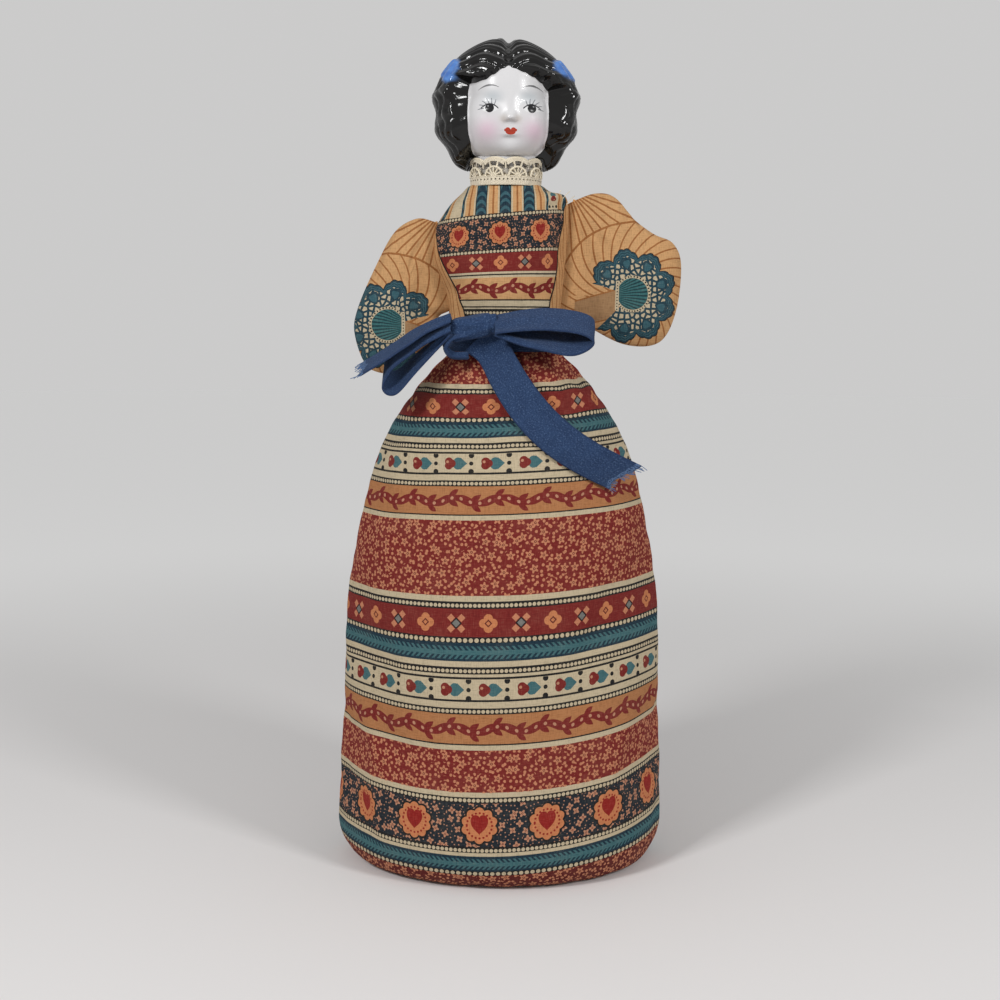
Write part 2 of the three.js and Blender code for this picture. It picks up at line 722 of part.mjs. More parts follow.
function laceCollar() {
  const columns = LACE_SCALLOPS * LACE_COLUMNS_PER_SCALLOP;
  const shares = [0, 0.5, 1];
  const grid = (radius) =>
    shares.map((share) =>
      Array.from({ length: columns }, (_, i) => {
        const angle = (i / columns) * 2 * Math.PI;
        const scallop = LACE_SCALLOP_DEPTH * Math.abs(Math.sin((LACE_SCALLOPS * angle) / 2));
        const top = LACE_TOP - LACE_SCALLOP_DEPTH + scallop;
        return oval(radius, radius, LACE_BOTTOM + (top - LACE_BOTTOM) * share, angle);
      }),
    );
  return sheet(grid(LACE_OUTER_RADIUS), grid(LACE_INNER_RADIUS), true);
}

function neckTie() {
  return threadRing(NECK_TIE_RING_RADIUS, NECK_TIE_RADIUS, NECKLINE_HEIGHT + NECK_CLOTH_HEIGHT / 2);
}

// Sash and bow

function sashBand() {
  const columns = 2 * BODY_COLUMNS;
  const heights = [SKIRT_TOP, WAIST_HEIGHT, SASH_TOP];
  const grid = (grow) =>
    heights.map((height) => ovalRing(SASH_INNER_WIDTH + grow, SASH_INNER_DEPTH + grow, height, columns));
  return sheet(grid(TAPE_THICKNESS), grid(0), true);
}

const knotBack = -(SASH_INNER_DEPTH + TAPE_THICKNESS + FIT);
const knotLeft = KNOT_OFFSET - KNOT_HALF_WIDTH;
const knotRight = KNOT_OFFSET + KNOT_HALF_WIDTH;

function bowKnot() {
  const corner = KNOT_HEIGHT / 2;
  const outline = new THREE.Shape();
  outline.absarc(KNOT_HALF_WIDTH - corner, 0, corner, -Math.PI / 2, Math.PI / 2);
  outline.absarc(corner - KNOT_HALF_WIDTH, 0, corner, Math.PI / 2, (3 * Math.PI) / 2);
  return new THREE.ExtrudeGeometry(outline, { depth: KNOT_DEPTH, bevelEnabled: false, curveSegments: 6 })
    .rotateX(Math.PI / 2)
    .translate(KNOT_OFFSET, knotBack, KNOT_HEIGHT_ABOVE_BASE);
}

// A strip of tape along a curve; across gives its width's direction, and widthAt its width, at each share.
function tapeStrip(curve, across, widthAt) {
  const rings = [];
  for (let i = 0; i <= TAPE_STEPS; i++) {
    const share = i / TAPE_STEPS;
    const centre = curve.getPoint(share);
    const sideways = across.clone().multiplyScalar(widthAt(share) / 2);
    const normal = curve.getTangent(share).cross(across).normalize().multiplyScalar(TAPE_THICKNESS / 2);
    const corner = (side, face) => {
      const edge = centre.clone().addScaledVector(sideways, side);
      return edge.addScaledVector(normal, face);
    };
    rings.push([corner(-1, -1), corner(1, -1), corner(1, 1), corner(-1, 1)]);
  }
  return loft(rings);
}

const lean = THREE.MathUtils.degToRad(TAPE_LEAN_DEGREES);
const loopAcross = new THREE.Vector3(0, -Math.cos(lean), -Math.sin(lean));
const loopMiddle = knotBack - LOOP_CLEARANCE - (TAPE_WIDTH / 2) * Math.cos(lean);

// The width of a tape that is gathered in the knot and opens out over a share of its length.
function openedWidth(gather, openShare, share) {
  return TAPE_WIDTH * (gather + (1 - gather) * smoothstep(0, openShare, share));
}

function tapeCurve(points, side, rise) {
  const start = side > 0 ? knotRight : knotLeft;
  const clear = start + side * LOOP_CLEARANCE;
  const level = KNOT_HEIGHT_ABOVE_BASE + rise;
  return new THREE.CatmullRomCurve3(
    points.map(([out, up]) => new THREE.Vector3(clear + side * out, loopMiddle, level + up)),
  );
}

function bowLoop(side) {
  const width = (share) => openedWidth(TAPE_GATHER, LOOP_GATHER_SHARE, Math.min(share, 1 - share));
  return tapeStrip(tapeCurve(side > 0 ? RIGHT_LOOP : LEFT_LOOP, side, 0), loopAcross, width);
}

function shortTail() {
  const width = (share) => openedWidth(TAPE_GATHER, SHORT_TAIL_GATHER_SHARE, share);
  return tapeStrip(tapeCurve(SHORT_TAIL, -1, SHORT_TAIL_RISE), loopAcross, width);
}

// The long tail leaves the knot's underside and lies down the front of the skirt, a little clear of it.
function longTail() {
  const slant = THREE.MathUtils.degToRad(LONG_TAIL_SLANT_DEGREES);
  const down = new THREE.Vector3(Math.sin(slant), 0, -Math.cos(slant));
  const across = new THREE.Vector3(Math.cos(slant), 0, Math.sin(slant));
  const knotBottom = KNOT_HEIGHT_ABOVE_BASE - KNOT_HEIGHT / 2;
  const top = new THREE.Vector3(KNOT_OFFSET / 2, 0, knotBottom - LOOP_CLEARANCE);
  top.addScaledVector(down, (TAPE_WIDTH * TAPE_GATHER) / 2);
  const steps = 5;
  const points = Array.from({ length: steps + 1 }, (_, i) => {
    const place = top.clone().addScaledVector(down, (LONG_TAIL_LENGTH * i) / steps);
    place.addScaledVector(across, -LONG_TAIL_SAG * Math.sin((Math.PI * i) / steps));
    const reach = [-1, 0, 1].map((edge) => {
      const spot = place.clone().addScaledVector(across, (edge * TAPE_WIDTH) / 2);
      const width = skirtHalfWidth(spot.z);
      const inside = Math.max(0, 1 - (spot.x / width) ** 2);
      return width * DEPTH_RATIO * Math.sqrt(inside);
    });
    place.y = Math.min(-Math.max(...reach), knotBack) - LONG_TAIL_STANDOFF;
    return place;
  });
  const width = (share) => openedWidth(LONG_TAIL_GATHER, LONG_TAIL_GATHER_SHARE, share);
  return tapeStrip(new THREE.CatmullRomCurve3(points), across, width);
}

// Assembly

const doll = new THREE.Group();

function add(name, geometry, color, roughness) {
  const mesh = new THREE.Mesh(geometry, new THREE.MeshStandardMaterial({ color, roughness, metalness: 0 }));
  mesh.name = name;
  doll.add(mesh);
}

const PRINT_RED = 0x8f302d;
const SLEEVE_GOLD = 0xdea864;
const TAPE_BLUE = 0x41608f;
const FIBRE_WHITE = 0xe8e4da;

add("skirt_front", skirtPanel(true), PRINT_RED, 0.9);
add("skirt_back", skirtPanel(false), PRINT_RED, 0.9);
add("skirt_base", ovalPlate(0, 0, CLOTH), PRINT_RED, 0.9);
add("base_card", ovalPlate(BASE_CARD_MARGIN, CLOTH + FIT, CARD_TOP), 0xb59a74, 0.95);
add("scent_pouch", scentPouch(), 0xe0d6c0, 0.95);
add("pouch_tie", pouchTie(), 0xd9cdb4, 0.9);
add("skirt_stuffing", skirtStuffing(), FIBRE_WHITE, 1);
add("bodice_front", bodicePanel(true), PRINT_RED, 0.9);
add("bodice_back", bodicePanel(false), PRINT_RED, 0.9);
add("torso_stuffing", torsoStuffing(), FIBRE_WHITE, 1);
for (const [name, side] of [
  ["left", -1],
  ["right", 1],
]) {
  add(`${name}_sleeve_front`, sleevePanel(side, true), SLEEVE_GOLD, 0.9);
  add(`${name}_sleeve_back`, sleevePanel(side, false), SLEEVE_GOLD, 0.9);
  add(`${name}_arm_stuffing`, armStuffing(side), FIBRE_WHITE, 1);
  add(`${name}_shoulder_thread`, seamThread(side), SLEEVE_GOLD, 0.8);
  add(`${name}_bow_loop`, bowLoop(side), TAPE_BLUE, 0.85);
}
add("china_head", chinaHead(), 0xe6e4e6, 0.08);
add("neck_tie", neckTie(), 0xd9cdb4, 0.9);
add("lace_collar", laceCollar(), 0xd7c8aa, 0.95);
add("sash_band", sashBand(), TAPE_BLUE, 0.85);
add("bow_knot", bowKnot(), TAPE_BLUE, 0.85);
add("short_bow_tail", shortTail(), TAPE_BLUE, 0.85);
add("long_bow_tail", longTail(), TAPE_BLUE, 0.85);

export default doll;
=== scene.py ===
# %% [markdown]
# # Dressing a sachet doll
# The frame holds the doll's solids and joints. This lesson puts cloth, china, lace and tape over them. Each
# piece is made in millimetres, in the place where it belongs, and is scaled to metres when it is finished.

# %% Load the frame
import math
import random

import bmesh
import bpy
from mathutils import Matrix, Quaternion, Vector, noise


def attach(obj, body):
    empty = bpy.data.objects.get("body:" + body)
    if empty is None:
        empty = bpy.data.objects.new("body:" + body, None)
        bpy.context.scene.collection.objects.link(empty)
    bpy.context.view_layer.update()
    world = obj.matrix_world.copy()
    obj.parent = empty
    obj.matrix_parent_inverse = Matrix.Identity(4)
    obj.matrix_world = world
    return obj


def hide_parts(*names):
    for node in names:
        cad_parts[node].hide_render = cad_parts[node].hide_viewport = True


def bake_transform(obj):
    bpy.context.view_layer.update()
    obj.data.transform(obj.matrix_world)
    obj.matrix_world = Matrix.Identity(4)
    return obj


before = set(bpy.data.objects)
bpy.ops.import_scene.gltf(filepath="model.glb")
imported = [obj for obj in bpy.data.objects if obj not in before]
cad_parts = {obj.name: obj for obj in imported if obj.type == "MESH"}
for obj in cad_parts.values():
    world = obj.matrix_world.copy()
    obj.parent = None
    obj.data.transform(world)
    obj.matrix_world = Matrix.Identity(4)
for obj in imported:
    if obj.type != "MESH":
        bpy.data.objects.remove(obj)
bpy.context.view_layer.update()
scene = bpy.context.scene
MM = 0.001
TURN = 2 * math.pi
print("nodes in the frame:", len(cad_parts))

# %% [markdown]
# ## Camera
# The camera stands level with the doll's waist, half a metre away, and looks a little down. Its lens is set
# by the ratio of its focal length to the picture's width, which holds whatever size the picture has.

# %% Camera
CAMERA_PLACE = (-1.05, -516.8, 187)
CAMERA_PITCH = math.radians(6.6)
CAMERA_ROLL = math.radians(0.45)
FOCAL_SHARE = 1.48
SENSOR_WIDTH = 36
NEAREST_SEEN = 10

camera_data = bpy.data.cameras.new("camera")
camera_data.sensor_width = SENSOR_WIDTH
camera_data.lens = FOCAL_SHARE * SENSOR_WIDTH
camera_data.clip_start = NEAREST_SEEN * MM
camera = bpy.data.objects.new("camera", camera_data)
camera.location = [MM * value for value in CAMERA_PLACE]
camera.rotation_mode = "QUATERNION"
upright = Quaternion((1, 0, 0), math.pi / 2 - CAMERA_PITCH)
camera.rotation_quaternion = upright @ Quaternion((0, 0, 1), CAMERA_ROLL)
scene.collection.objects.link(camera)
scene.camera = camera
print("lens", round(camera_data.lens, 1), "mm")

# %% [markdown]
# ## Writing shaders as expressions
# A print made of bands and small motifs is mostly arithmetic on the cloth's two lengths. Wiring that by hand
# takes hundreds of nodes, so a small class wraps a socket and lets Python's own operators add the nodes.


# %% Wires and finishes
def operator(operation):
    return lambda self, *others: self.math(operation, *others)


class Wire:
    """One output of a shader node, used like a number in an expression."""

    def __init__(self, finish, socket):
        self.finish = finish
        self.socket = socket

    def math(self, operation, *others):
        return self.finish.node("ShaderNodeMath", {"operation": operation}, dict(enumerate((self, *others))))

    def part(self, output):
        return Wire(self.finish, self.socket.node.outputs[output])

    def __rsub__(self, other):
        return self.finish.node("ShaderNodeMath", {"operation": "SUBTRACT"}, {0: other, 1: self})

    __add__ = __radd__ = operator("ADD")
    __sub__ = operator("SUBTRACT")
    __mul__ = __rmul__ = operator("MULTIPLY")
    __truediv__ = operator("DIVIDE")
    __mod__ = operator("FLOORED_MODULO")
    __abs__ = operator("ABSOLUTE")
    __lt__ = operator("LESS_THAN")
    __gt__ = operator("GREATER_THAN")


class Finish:
    """The nodes of a material or a sky, with one method that adds any node and one that feeds its shader."""

    def __init__(self, block, shader="Principled BSDF"):
        block.use_nodes = True
        self.block = block
        self.tree = block.node_tree
        self.shader = self.tree.nodes[shader]

    def feed(self, socket, value):
        if isinstance(value, Wire):
            self.tree.links.new(value.socket, socket)
        else:
            socket.default_value = value

    def node(self, kind, settings=None, sockets=None, output=0):
        made = self.tree.nodes.new(kind)
        for key, value in (settings or {}).items():
            if key == "stops":
                fill_ramp(made.color_ramp, value)
            else:
                setattr(made, key, value)
        for key, value in (sockets or {}).items():
            self.feed(made.inputs[key], value)
        return Wire(self, made.outputs[output])

    def set(self, sockets):
        for name, value in sockets.items():
            self.feed(self.shader.inputs[name], value)

    def paint(self, colour, *coats):
        """Lays coats of (colour, mask) over a ground, one after the other."""
        for coat, mask in coats:
            colour = self.node("ShaderNodeMix", {"data_type": "RGBA"}, {0: mask, 6: colour, 7: coat}, 2)
        return colour

    def bands(self, place, span, stops):
        """Flat colours that change at each stop's place, which runs from 0 to span."""
        scaled = [(start / span, colour) for start, colour in stops]
        return self.node("ShaderNodeValToRGB", {"stops": scaled}, {0: place / span})

    def spot(self, u, v):
        return self.node("ShaderNodeCombineXYZ", {}, {0: u, 1: v})

    def axes(self, where):
        parts = self.node("ShaderNodeSeparateXYZ", {}, {0: where})
        return parts, parts.part(1), parts.part(2)

    def cloth(self):
        """The cloth's own two lengths in millimetres, which each piece keeps in its UV map."""
        return self.axes(self.node("ShaderNodeUVMap", {"uv_map": "cloth"}))[:2]

    def place(self):
        """Where a point lies on its object, in metres."""
        return self.node("ShaderNodeTexCoord", output="Object")

    def noise(self, where, scale, detail):
        return self.node("ShaderNodeTexNoise", {}, {"Vector": where, "Scale": scale, "Detail": detail})

    def cells(self, where, scale, randomness, feature="F1"):
        settings = {"voronoi_dimensions": "2D", "feature": feature}
        sockets = {"Vector": where, "Scale": scale, "Randomness": randomness}
        return self.node("ShaderNodeTexVoronoi", settings, sockets)

    def bump(self, height, distance, strength):
        sockets = {"Strength": strength, "Distance": distance, "Height": height}
        self.set({"Normal": self.node("ShaderNodeBump", {}, sockets)})


def new_finish(name):
    return Finish(bpy.data.materials.new(name))


def fill_ramp(ramp, stops):
    ramp.interpolation = "CONSTANT"
    for place, _ in stops[2:]:
        ramp.elements.new(place)
    for element, (place, colour) in zip(ramp.elements, sorted(stops)):
        element.position = place
        element.color = colour


def ink(red, green, blue):
    """A colour as it is seen, from 0 to 255, turned into the light that a shader works in."""
    seen = [value / 255 for value in (red, green, blue)]
    return (*[value / 12.92 if value < 0.04 else ((value + 0.055) / 1.055) ** 2.4 for value in seen], 1)


def repeat(x, pitch, phase=0):
    """Where x lies from the middle of its own repeat."""
    return (x + (pitch / 2 - phase)) % pitch - pitch / 2


def wave(x, pitch):
    """A sine wave that repeats after each pitch."""
    return (x * (TURN / pitch)).math("SINE")


def distance(x, y):
    return (x * x + y * y).math("SQRT")


def disc(x, y, radius):
    return x * x + y * y < radius * radius


def either(first, second):
    return first.math("MAXIMUM", second)


def both(first, second):
    return first.math("MINIMUM", second)


def between(x, low, high):
    return both(x > low, x < high)


print("wires ready")

# %% [markdown]
# ## Helpers for shapes
# Most of the doll is a stack of rings: the skirt, the bodice, the arms and the head are each a circle that is
# extruded row by row, with every new row moved to its place. Each vertex carries its row and column, so that
# the cloth's lengths can be written into a UV map afterwards. Ribbons start from a grid in the same way.

# %% Shape helpers
SOFTEN_LEVELS = 1


def smooth(low, high, value):
    share = min(max((value - low) / (high - low), 0), 1)
    return share * share * (3 - 2 * share)


def mix(a, b, share):
    return a + (b - a) * share


def bell(x):
    """One at the middle, falling away on both sides."""
    return math.exp(-(x**2))


def on_ring(angle, width, depth, height):
    """A point on an oval ring, with the angle counted from the front towards the right."""
    return Vector((width * math.sin(angle), -depth * math.cos(angle), height))


def grow_ring(bm, edges):
    """Extrudes a ring and gives back the new one's vertices and edges."""
    grown = bmesh.ops.extrude_edge_only(bm, edges=edges)["geom"]
    ring = [item for item in grown if isinstance(item, bmesh.types.BMVert)]
    return ring, [item for item in grown if isinstance(item, bmesh.types.BMEdge)]


def put_in_order(bm, columns):
    """Sorts a stack by row and column, because an extrusion's own order can change from run to run."""
    row_of = bm.verts.layers.int["row"]
    column_of = bm.verts.layers.int["column"]
    count = len(bm.verts)

    def rank(element):
        indices = [vert.index for vert in element.verts]
        return max(indices) * count + min(indices)

    bm.verts.sort(key=lambda vert: vert[row_of] * columns + vert[column_of])
    bm.verts.index_update()
    bm.edges.sort(key=rank)
    bm.faces.sort(key=rank)


def stack(rows, columns, place, poles=(True, True)):
    """Extrudes a circle through rows of points; place(row, column) gives each point in millimetres."""
    bm = bmesh.new()
    row_of = bm.verts.layers.int.new("row")
    column_of = bm.verts.layers.int.new("column")
    ring = bmesh.ops.create_circle(bm, segments=columns, radius=1)["verts"]
    for column, vert in enumerate(ring):
        vert[column_of] = column
    edges = list(bm.edges)
    first = list(ring)
    for row in range(rows):
        if row:
            ring, edges = grow_ring(bm, edges)
        for vert in ring:
            vert[row_of] = row
            vert.co = place(row, vert[column_of])
    for end, closed in zip((first, ring), poles):
        if closed:
            in_turn = sorted(end, key=lambda vert: vert[column_of])
            middle = sum((vert.co for vert in in_turn), Vector()) / columns
            bmesh.ops.pointmerge(bm, verts=in_turn, merge_co=middle)
    bmesh.ops.recalc_face_normals(bm, faces=bm.faces)
    put_in_order(bm, columns)
    return bm


def ribbon(length_steps, width_steps, place, size):
    """Bends a grid of a flat size; place(along, across) gives each point for shares from 0 to 1."""
    bm = bmesh.new()
    bmesh.ops.create_grid(bm, x_segments=length_steps, y_segments=width_steps, size=1)
    uv = bm.loops.layers.uv.new("cloth")
    for face in bm.faces:
        for loop in face.loops:
            loop[uv].uv = ((loop.vert.co.x + 1) / 2 * size[0], (loop.vert.co.y + 1) / 2 * size[1])
    for vert in bm.verts:
        vert.co = place((vert.co.x + 1) / 2, (vert.co.y + 1) / 2)
    return bm


def write_lengths(bm, columns, length):
    """Writes length(row, column, face_column) into the UV map, with columns that run past the last one."""
    uv = bm.loops.layers.uv.new("cloth")
    row_of = bm.verts.layers.int["row"]
    column_of = bm.verts.layers.int["column"]
    for face in bm.faces:
        seen = [loop.vert[column_of] for loop in face.loops]
        wraps = max(seen) - min(seen) > columns / 2
        for loop in face.loops:
            column = loop.vert[column_of]
            if wraps and column < columns / 2:
                column += columns
            loop[uv].uv = length(loop.vert[row_of], column, min(seen) if not wraps else columns - 1)


def finish_piece(bm, name, finish):
    """Turns a bmesh in millimetres into an object at the origin, in metres and smooth."""
    bmesh.ops.scale(bm, vec=(MM, MM, MM), verts=bm.verts)
    mesh = bpy.data.meshes.new(name)
    bm.to_mesh(mesh)
    bm.free()
    mesh.shade_smooth()
    piece = bpy.data.objects.new(name, mesh)
    scene.collection.objects.link(piece)
    mesh.materials.append(finish.block)
    print(name, len(mesh.polygons), "faces")
    return piece


def soften(piece):
    modifier = piece.modifiers.new("soften", "SUBSURF")
    modifier.levels = SOFTEN_LEVELS
    modifier.render_levels = SOFTEN_LEVELS


print("shape helpers ready")

# %% [markdown]
# ## Stuffing by simulation
# A stuffed piece is cloth under a little pressure, held at its seams and cut one per cent too wide. Blender's
# cloth gives that swelling in twenty frames. The result is read back point by point, and no point may move
# further than a short reach, so the piece keeps the size that its solid has.

# %% Stuffing
STUFFING_FRAMES = 20
STUFFING_QUALITY = 6
CLOTH_SLACK = 0.01


def sewn_points(bm, is_sewn):
    bm.verts.index_update()
    return [vert.index for vert in bm.verts if is_sewn(vert)]


def plain_copy(mesh):
    """The same points and faces, with each face started at its first point and all faces sorted."""
    faces = [tuple(face.vertices) for face in mesh.polygons]
    starts = [face.index(min(face)) for face in faces]
    plain = bpy.data.meshes.new("stuffing_trial")
    turned = sorted(face[first:] + face[:first] for face, first in zip(faces, starts))
    plain.from_pydata([vert.co for vert in mesh.vertices], [], turned)
    return plain


def stuff(piece, sewn, reach, pressure):
    """Inflates a copy of a closed piece, held at its sewn points, and moves the piece's points after it."""
    trial = bpy.data.objects.new("stuffing_trial", plain_copy(piece.data))
    scene.collection.objects.link(trial)
    trial.vertex_groups.new(name="sewn").add(sewn, 1.0, "REPLACE")
    cloth = trial.modifiers.new("stuffing", "CLOTH")
    cloth.settings.quality = STUFFING_QUALITY
    cloth.settings.use_pressure = True
    cloth.settings.uniform_pressure_force = pressure
    cloth.settings.shrink_min = -CLOTH_SLACK
    cloth.settings.vertex_group_mass = "sewn"
    cloth.settings.effector_weights.gravity = 0
    cloth.collision_settings.use_collision = False
    for step in range(1, STUFFING_FRAMES + 1):
        scene.frame_set(step)
    posed = trial.evaluated_get(bpy.context.evaluated_depsgraph_get())
    moves = [moved.co - vert.co for moved, vert in zip(posed.data.vertices, piece.data.vertices)]
    bpy.data.meshes.remove(trial.data)
    scene.frame_set(1)
    for vert, move in zip(piece.data.vertices, moves):
        vert.co += move * min(1, reach * MM / max(move.length, 1e-9))
    furthest = max(move.length for move in moves) / MM
    print(piece.name, "swelled by up to", round(furthest, 2), "mm before the cap")


print("stuffing ready")

# %% [markdown]
# ## The printed cotton
# The cloth is a folk-style calico in bands, in red, gold, cream, teal and black. Each motif below is a mask
# made from two lengths in millimetres: u along the band, and t up from the band's middle. A picture would be
# quicker, but masks stay sharp at any distance and can be shared between the skirt and the bodice.

# %% Dyes
RED = ink(118, 34, 31)
DARK_RED = ink(94, 28, 26)
GOLD = ink(172, 116, 74)
CREAM = ink(192, 176, 147)
BLACK = ink(22, 22, 24)
CHARCOAL = ink(28, 36, 44)
DEEP_TEAL = ink(20, 47, 61)
LIGHT_TEAL = ink(62, 102, 107)
ORANGE = ink(194, 122, 80)
TAN = ink(190, 124, 92)
PINK_TAN = ink(184, 132, 104)
HEART_RED = ink(140, 30, 26)
GREY = ink(114, 114, 110)

# %% Motifs
FLOWER_PITCH = 21.4
BUD_PITCH = 12.7
VINE_PITCH = 15.6
BERRY_PITCH = 3.2
LEAF_PITCH = 1.9
ROSETTE_PITCH = 22.5


def beads(finish, colour, u, t, pitch, radius):
    """A row of pale dots."""
    return finish.paint(colour, (CREAM, disc(repeat(u, pitch), t, radius)))


def flowers(finish, colour, u, t, scale):
    """Four-petalled flowers in turn with groups of four diamonds."""
    pitch = FLOWER_PITCH * scale
    x = repeat(u, pitch)
    sides = disc(abs(x) - 1.55 * scale, t, 1.5 * scale)
    ends = disc(x, abs(t) - 1.55 * scale, 1.5 * scale)
    y = repeat(u, pitch, pitch / 2)
    corner = abs(abs(y) - 1.75 * scale) + abs(abs(t) - 1.75 * scale)
    middle = abs(y) + abs(t)
    return finish.paint(
        colour,
        (ORANGE, either(sides, ends)),
        (DARK_RED, between(abs(x) + abs(t), 0.75 * scale, 1.3 * scale)),
        (TAN, corner < 1.35 * scale),
        (BLACK, middle < 1.9 * scale),
        (GREY, middle < 1.35 * scale),
    )


def fern(finish, colour, u, t, scale):
    """A stem with short slanted leaves on both sides."""
    side = abs(t)
    leaf = both(repeat(u + side * 0.9, LEAF_PITCH * scale) > 0, side < 2.1 * scale)
    return finish.paint(colour, (LIGHT_TEAL, either(leaf, side < 0.75 * scale)))


def buds(finish, colour, u, t, scale):
    """Pairs of buds, red and teal, between columns of three dark dots."""
    pitch = BUD_PITCH * scale
    x = repeat(u, pitch)
    teal_x = x - 1.7 * scale
    point = abs(t) * 0.8 + abs(teal_x - 0.9 * scale) * 0.75
    teal = either(disc(teal_x, abs(t) - 0.7 * scale, 1.5 * scale), point < 1.75 * scale)
    red_x = x + 1.5 * scale
    red = either(disc(red_x, abs(t) - 0.75 * scale, 1.45 * scale), disc(red_x - 0.9 * scale, t, 1.5 * scale))
    y = repeat(u, pitch, pitch / 2)
    return finish.paint(
        colour,
        (LIGHT_TEAL, teal),
        (RED, red),
        (PINK_TAN, disc(red_x + 0.5 * scale, t - 0.6 * scale, 0.5 * scale)),
        (BLACK, either(disc(y, t, 0.72 * scale), disc(y, abs(t) - 2.9 * scale, 0.95 * scale))),
    )


def vine(finish, colour, u, t, scale):
    """A thick waving stem with pale berries, and a pair of pointed leaves at each bend."""
    pitch = VINE_PITCH * scale
    rise = t - wave(u, pitch) * (1.0 * scale)
    stem = abs(rise) < (1.35 + 0.3 * (u * (2 * TURN / pitch)).math("COSINE")) * scale
    x = repeat(u, pitch / 2, pitch / 8)
    out, along = abs(rise) - 1.7 * scale, x - 1.3 * scale
    length = (along * 0.8 + out * 0.6) / (2.2 * scale)
    leaf = length * length + abs(out * 0.8 - along * 0.6) / (0.95 * scale) < 1
    berry = disc(repeat(u, BERRY_PITCH * scale), rise, 0.58 * scale)
    return finish.paint(colour, (RED, either(stem, leaf)), (PINK_TAN, berry))


def sprigs(finish, colour, u, t, pitch, petals, dot_share, tint):
    """Small flowers scattered at random, with dots between them."""
    where = finish.spot(u, t)
    cell = finish.cells(where, 1 / pitch, 0.8)
    offset = finish.node("ShaderNodeVectorMath", {"operation": "SUBTRACT"}, {0: where, 1: cell.part(2)})
    x, y, _ = finish.axes(offset)
    reach = distance(x, y)
    twist = finish.node("ShaderNodeSeparateColor", {}, {0: cell.part(1)}) * 6.28
    lobes = (y.math("ARCTAN2", x) * petals + twist).math("COSINE")
    bloom = reach < (lobes * 0.09 + 0.26) * pitch
    dots = both(finish.cells(where, 2.6 / pitch, 0.8) < dot_share, reach > 0.46 * pitch)
    ring = between(reach, 0.05 * pitch, 0.1 * pitch)
    return finish.paint(colour, (tint, either(bloom, dots)), (DARK_RED, ring))


def rosettes(finish, colour, u, t, scale, phase):
    """Scalloped rosettes with a ring of dots and a heart in the middle."""
    x = repeat(u, ROSETTE_PITCH * scale, phase)
    reach = distance(x, t)
    angle = t.math("ARCTAN2", x)
    rim = (abs((angle * 5).math("SINE")) * 0.9 + 5.2) * scale
    ring = disc(repeat(angle * (4.2 * scale), 1.3 * scale), reach - 4.2 * scale, 0.36 * scale)
    side = abs(x) / (3.0 * scale)
    height = (t + 0.3 * scale) / (3.0 * scale) - side.math("SQRT") * 0.62
    return finish.paint(
        colour,
        (BLACK, reach < rim + 0.7 * scale),
        (ORANGE, reach < rim),
        (HEART_RED, ring),
        (HEART_RED, side * side + height * height < 0.95),
    )


print("motifs ready")

# %% [markdown]
# ## Weave, fading and feel
# Every cotton finish ends in the same way: the dyes fade a little unevenly, and the plain weave raises a fine
# grid. The weave's threads are a third of a millimetre apart, so from a step away they only soften the light.

# %% Cotton feel
WEAVE_PITCH = 0.36
SLUB_FINE = 3.4
SLUB_LONG = 0.35


def cotton_feel(finish, colour, u, v):
    patchy = finish.noise(finish.spot(u, v), 0.09, 4)
    warp = finish.noise(finish.spot(u * SLUB_FINE, v * SLUB_LONG), 1, 2)
    weft = finish.noise(finish.spot(u * SLUB_LONG, v * SLUB_FINE), 1, 2)
    threads = warp + weft - 1
    colour = finish.paint(
        colour,
        (CREAM, (patchy - 0.45) * 0.1),
        (BLACK, threads * 0.8 + 0.04),
        (CREAM, threads * -0.22),
    )
    finish.set({"Base Color": colour, "Roughness": threads * 0.1 + 0.86, "Specular IOR Level": 0.2})
    weave = wave(u, WEAVE_PITCH) * wave(v, WEAVE_PITCH)
    finish.bump(weave * 0.4 + threads * -1.2, 0.00014, 0.6)


print("cotton ready")

# %% [markdown]
# ## The skirt's print
# From the hem up there is a dark heart band, then twice the same group of bands with calico between. The
# upper group is the lower one again, so its place on the cloth is folded back onto the lower one's, and each
# motif is worked out only once.

# %% Skirt print
GROUP_START = 53.8
GROUP_AGAIN = 129.1
GROUP_FOLD = GROUP_AGAIN - 12
GROUP_SHRINK = 1.08
GROUP_TOP = 50.8
GROUP_SPAN = 60
GROUP_GROUNDS = [
    (0, CREAM), (1.6, BLACK), (2.0, GOLD), (11.9, BLACK), (14.0, CREAM), (16.1, BLACK), (16.7, CREAM),
    (23.6, BLACK), (24.2, CREAM), (25.1, BLACK), (27.6, CREAM), (29.3, DEEP_TEAL), (35.5, BLACK),
    (37.3, RED), (46.6, BLACK), (48.8, CREAM), (GROUP_TOP, RED),
]
GROUP_MOTIFS = [(2.0, 11.9, vine), (16.7, 23.6, buds), (29.3, 35.5, fern), (37.3, 46.6, flowers)]
HEM_CALICO_TOP = 11.3
HEM_FERN = (13.1, 18.3)
HEM_HEARTS = (21.6, 36.2)
HEM_TOP = 39.7
# The lowest calico, from the base up round the hem roll, is dark red where the calico above is red: painted
# shade at the bottom of the skirt.
HEM_GROUNDS = [
    (0, DARK_RED), (HEM_CALICO_TOP, BLACK), (13.1, DEEP_TEAL), (18.3, CREAM), (19.5, BLACK), (21.6, CHARCOAL),
    (36.2, BLACK), (38.2, CREAM), (HEM_TOP, RED),
]
SMALL_BEAD = (1.5, 0.62)
LARGE_BEAD = (1.9, 0.72)


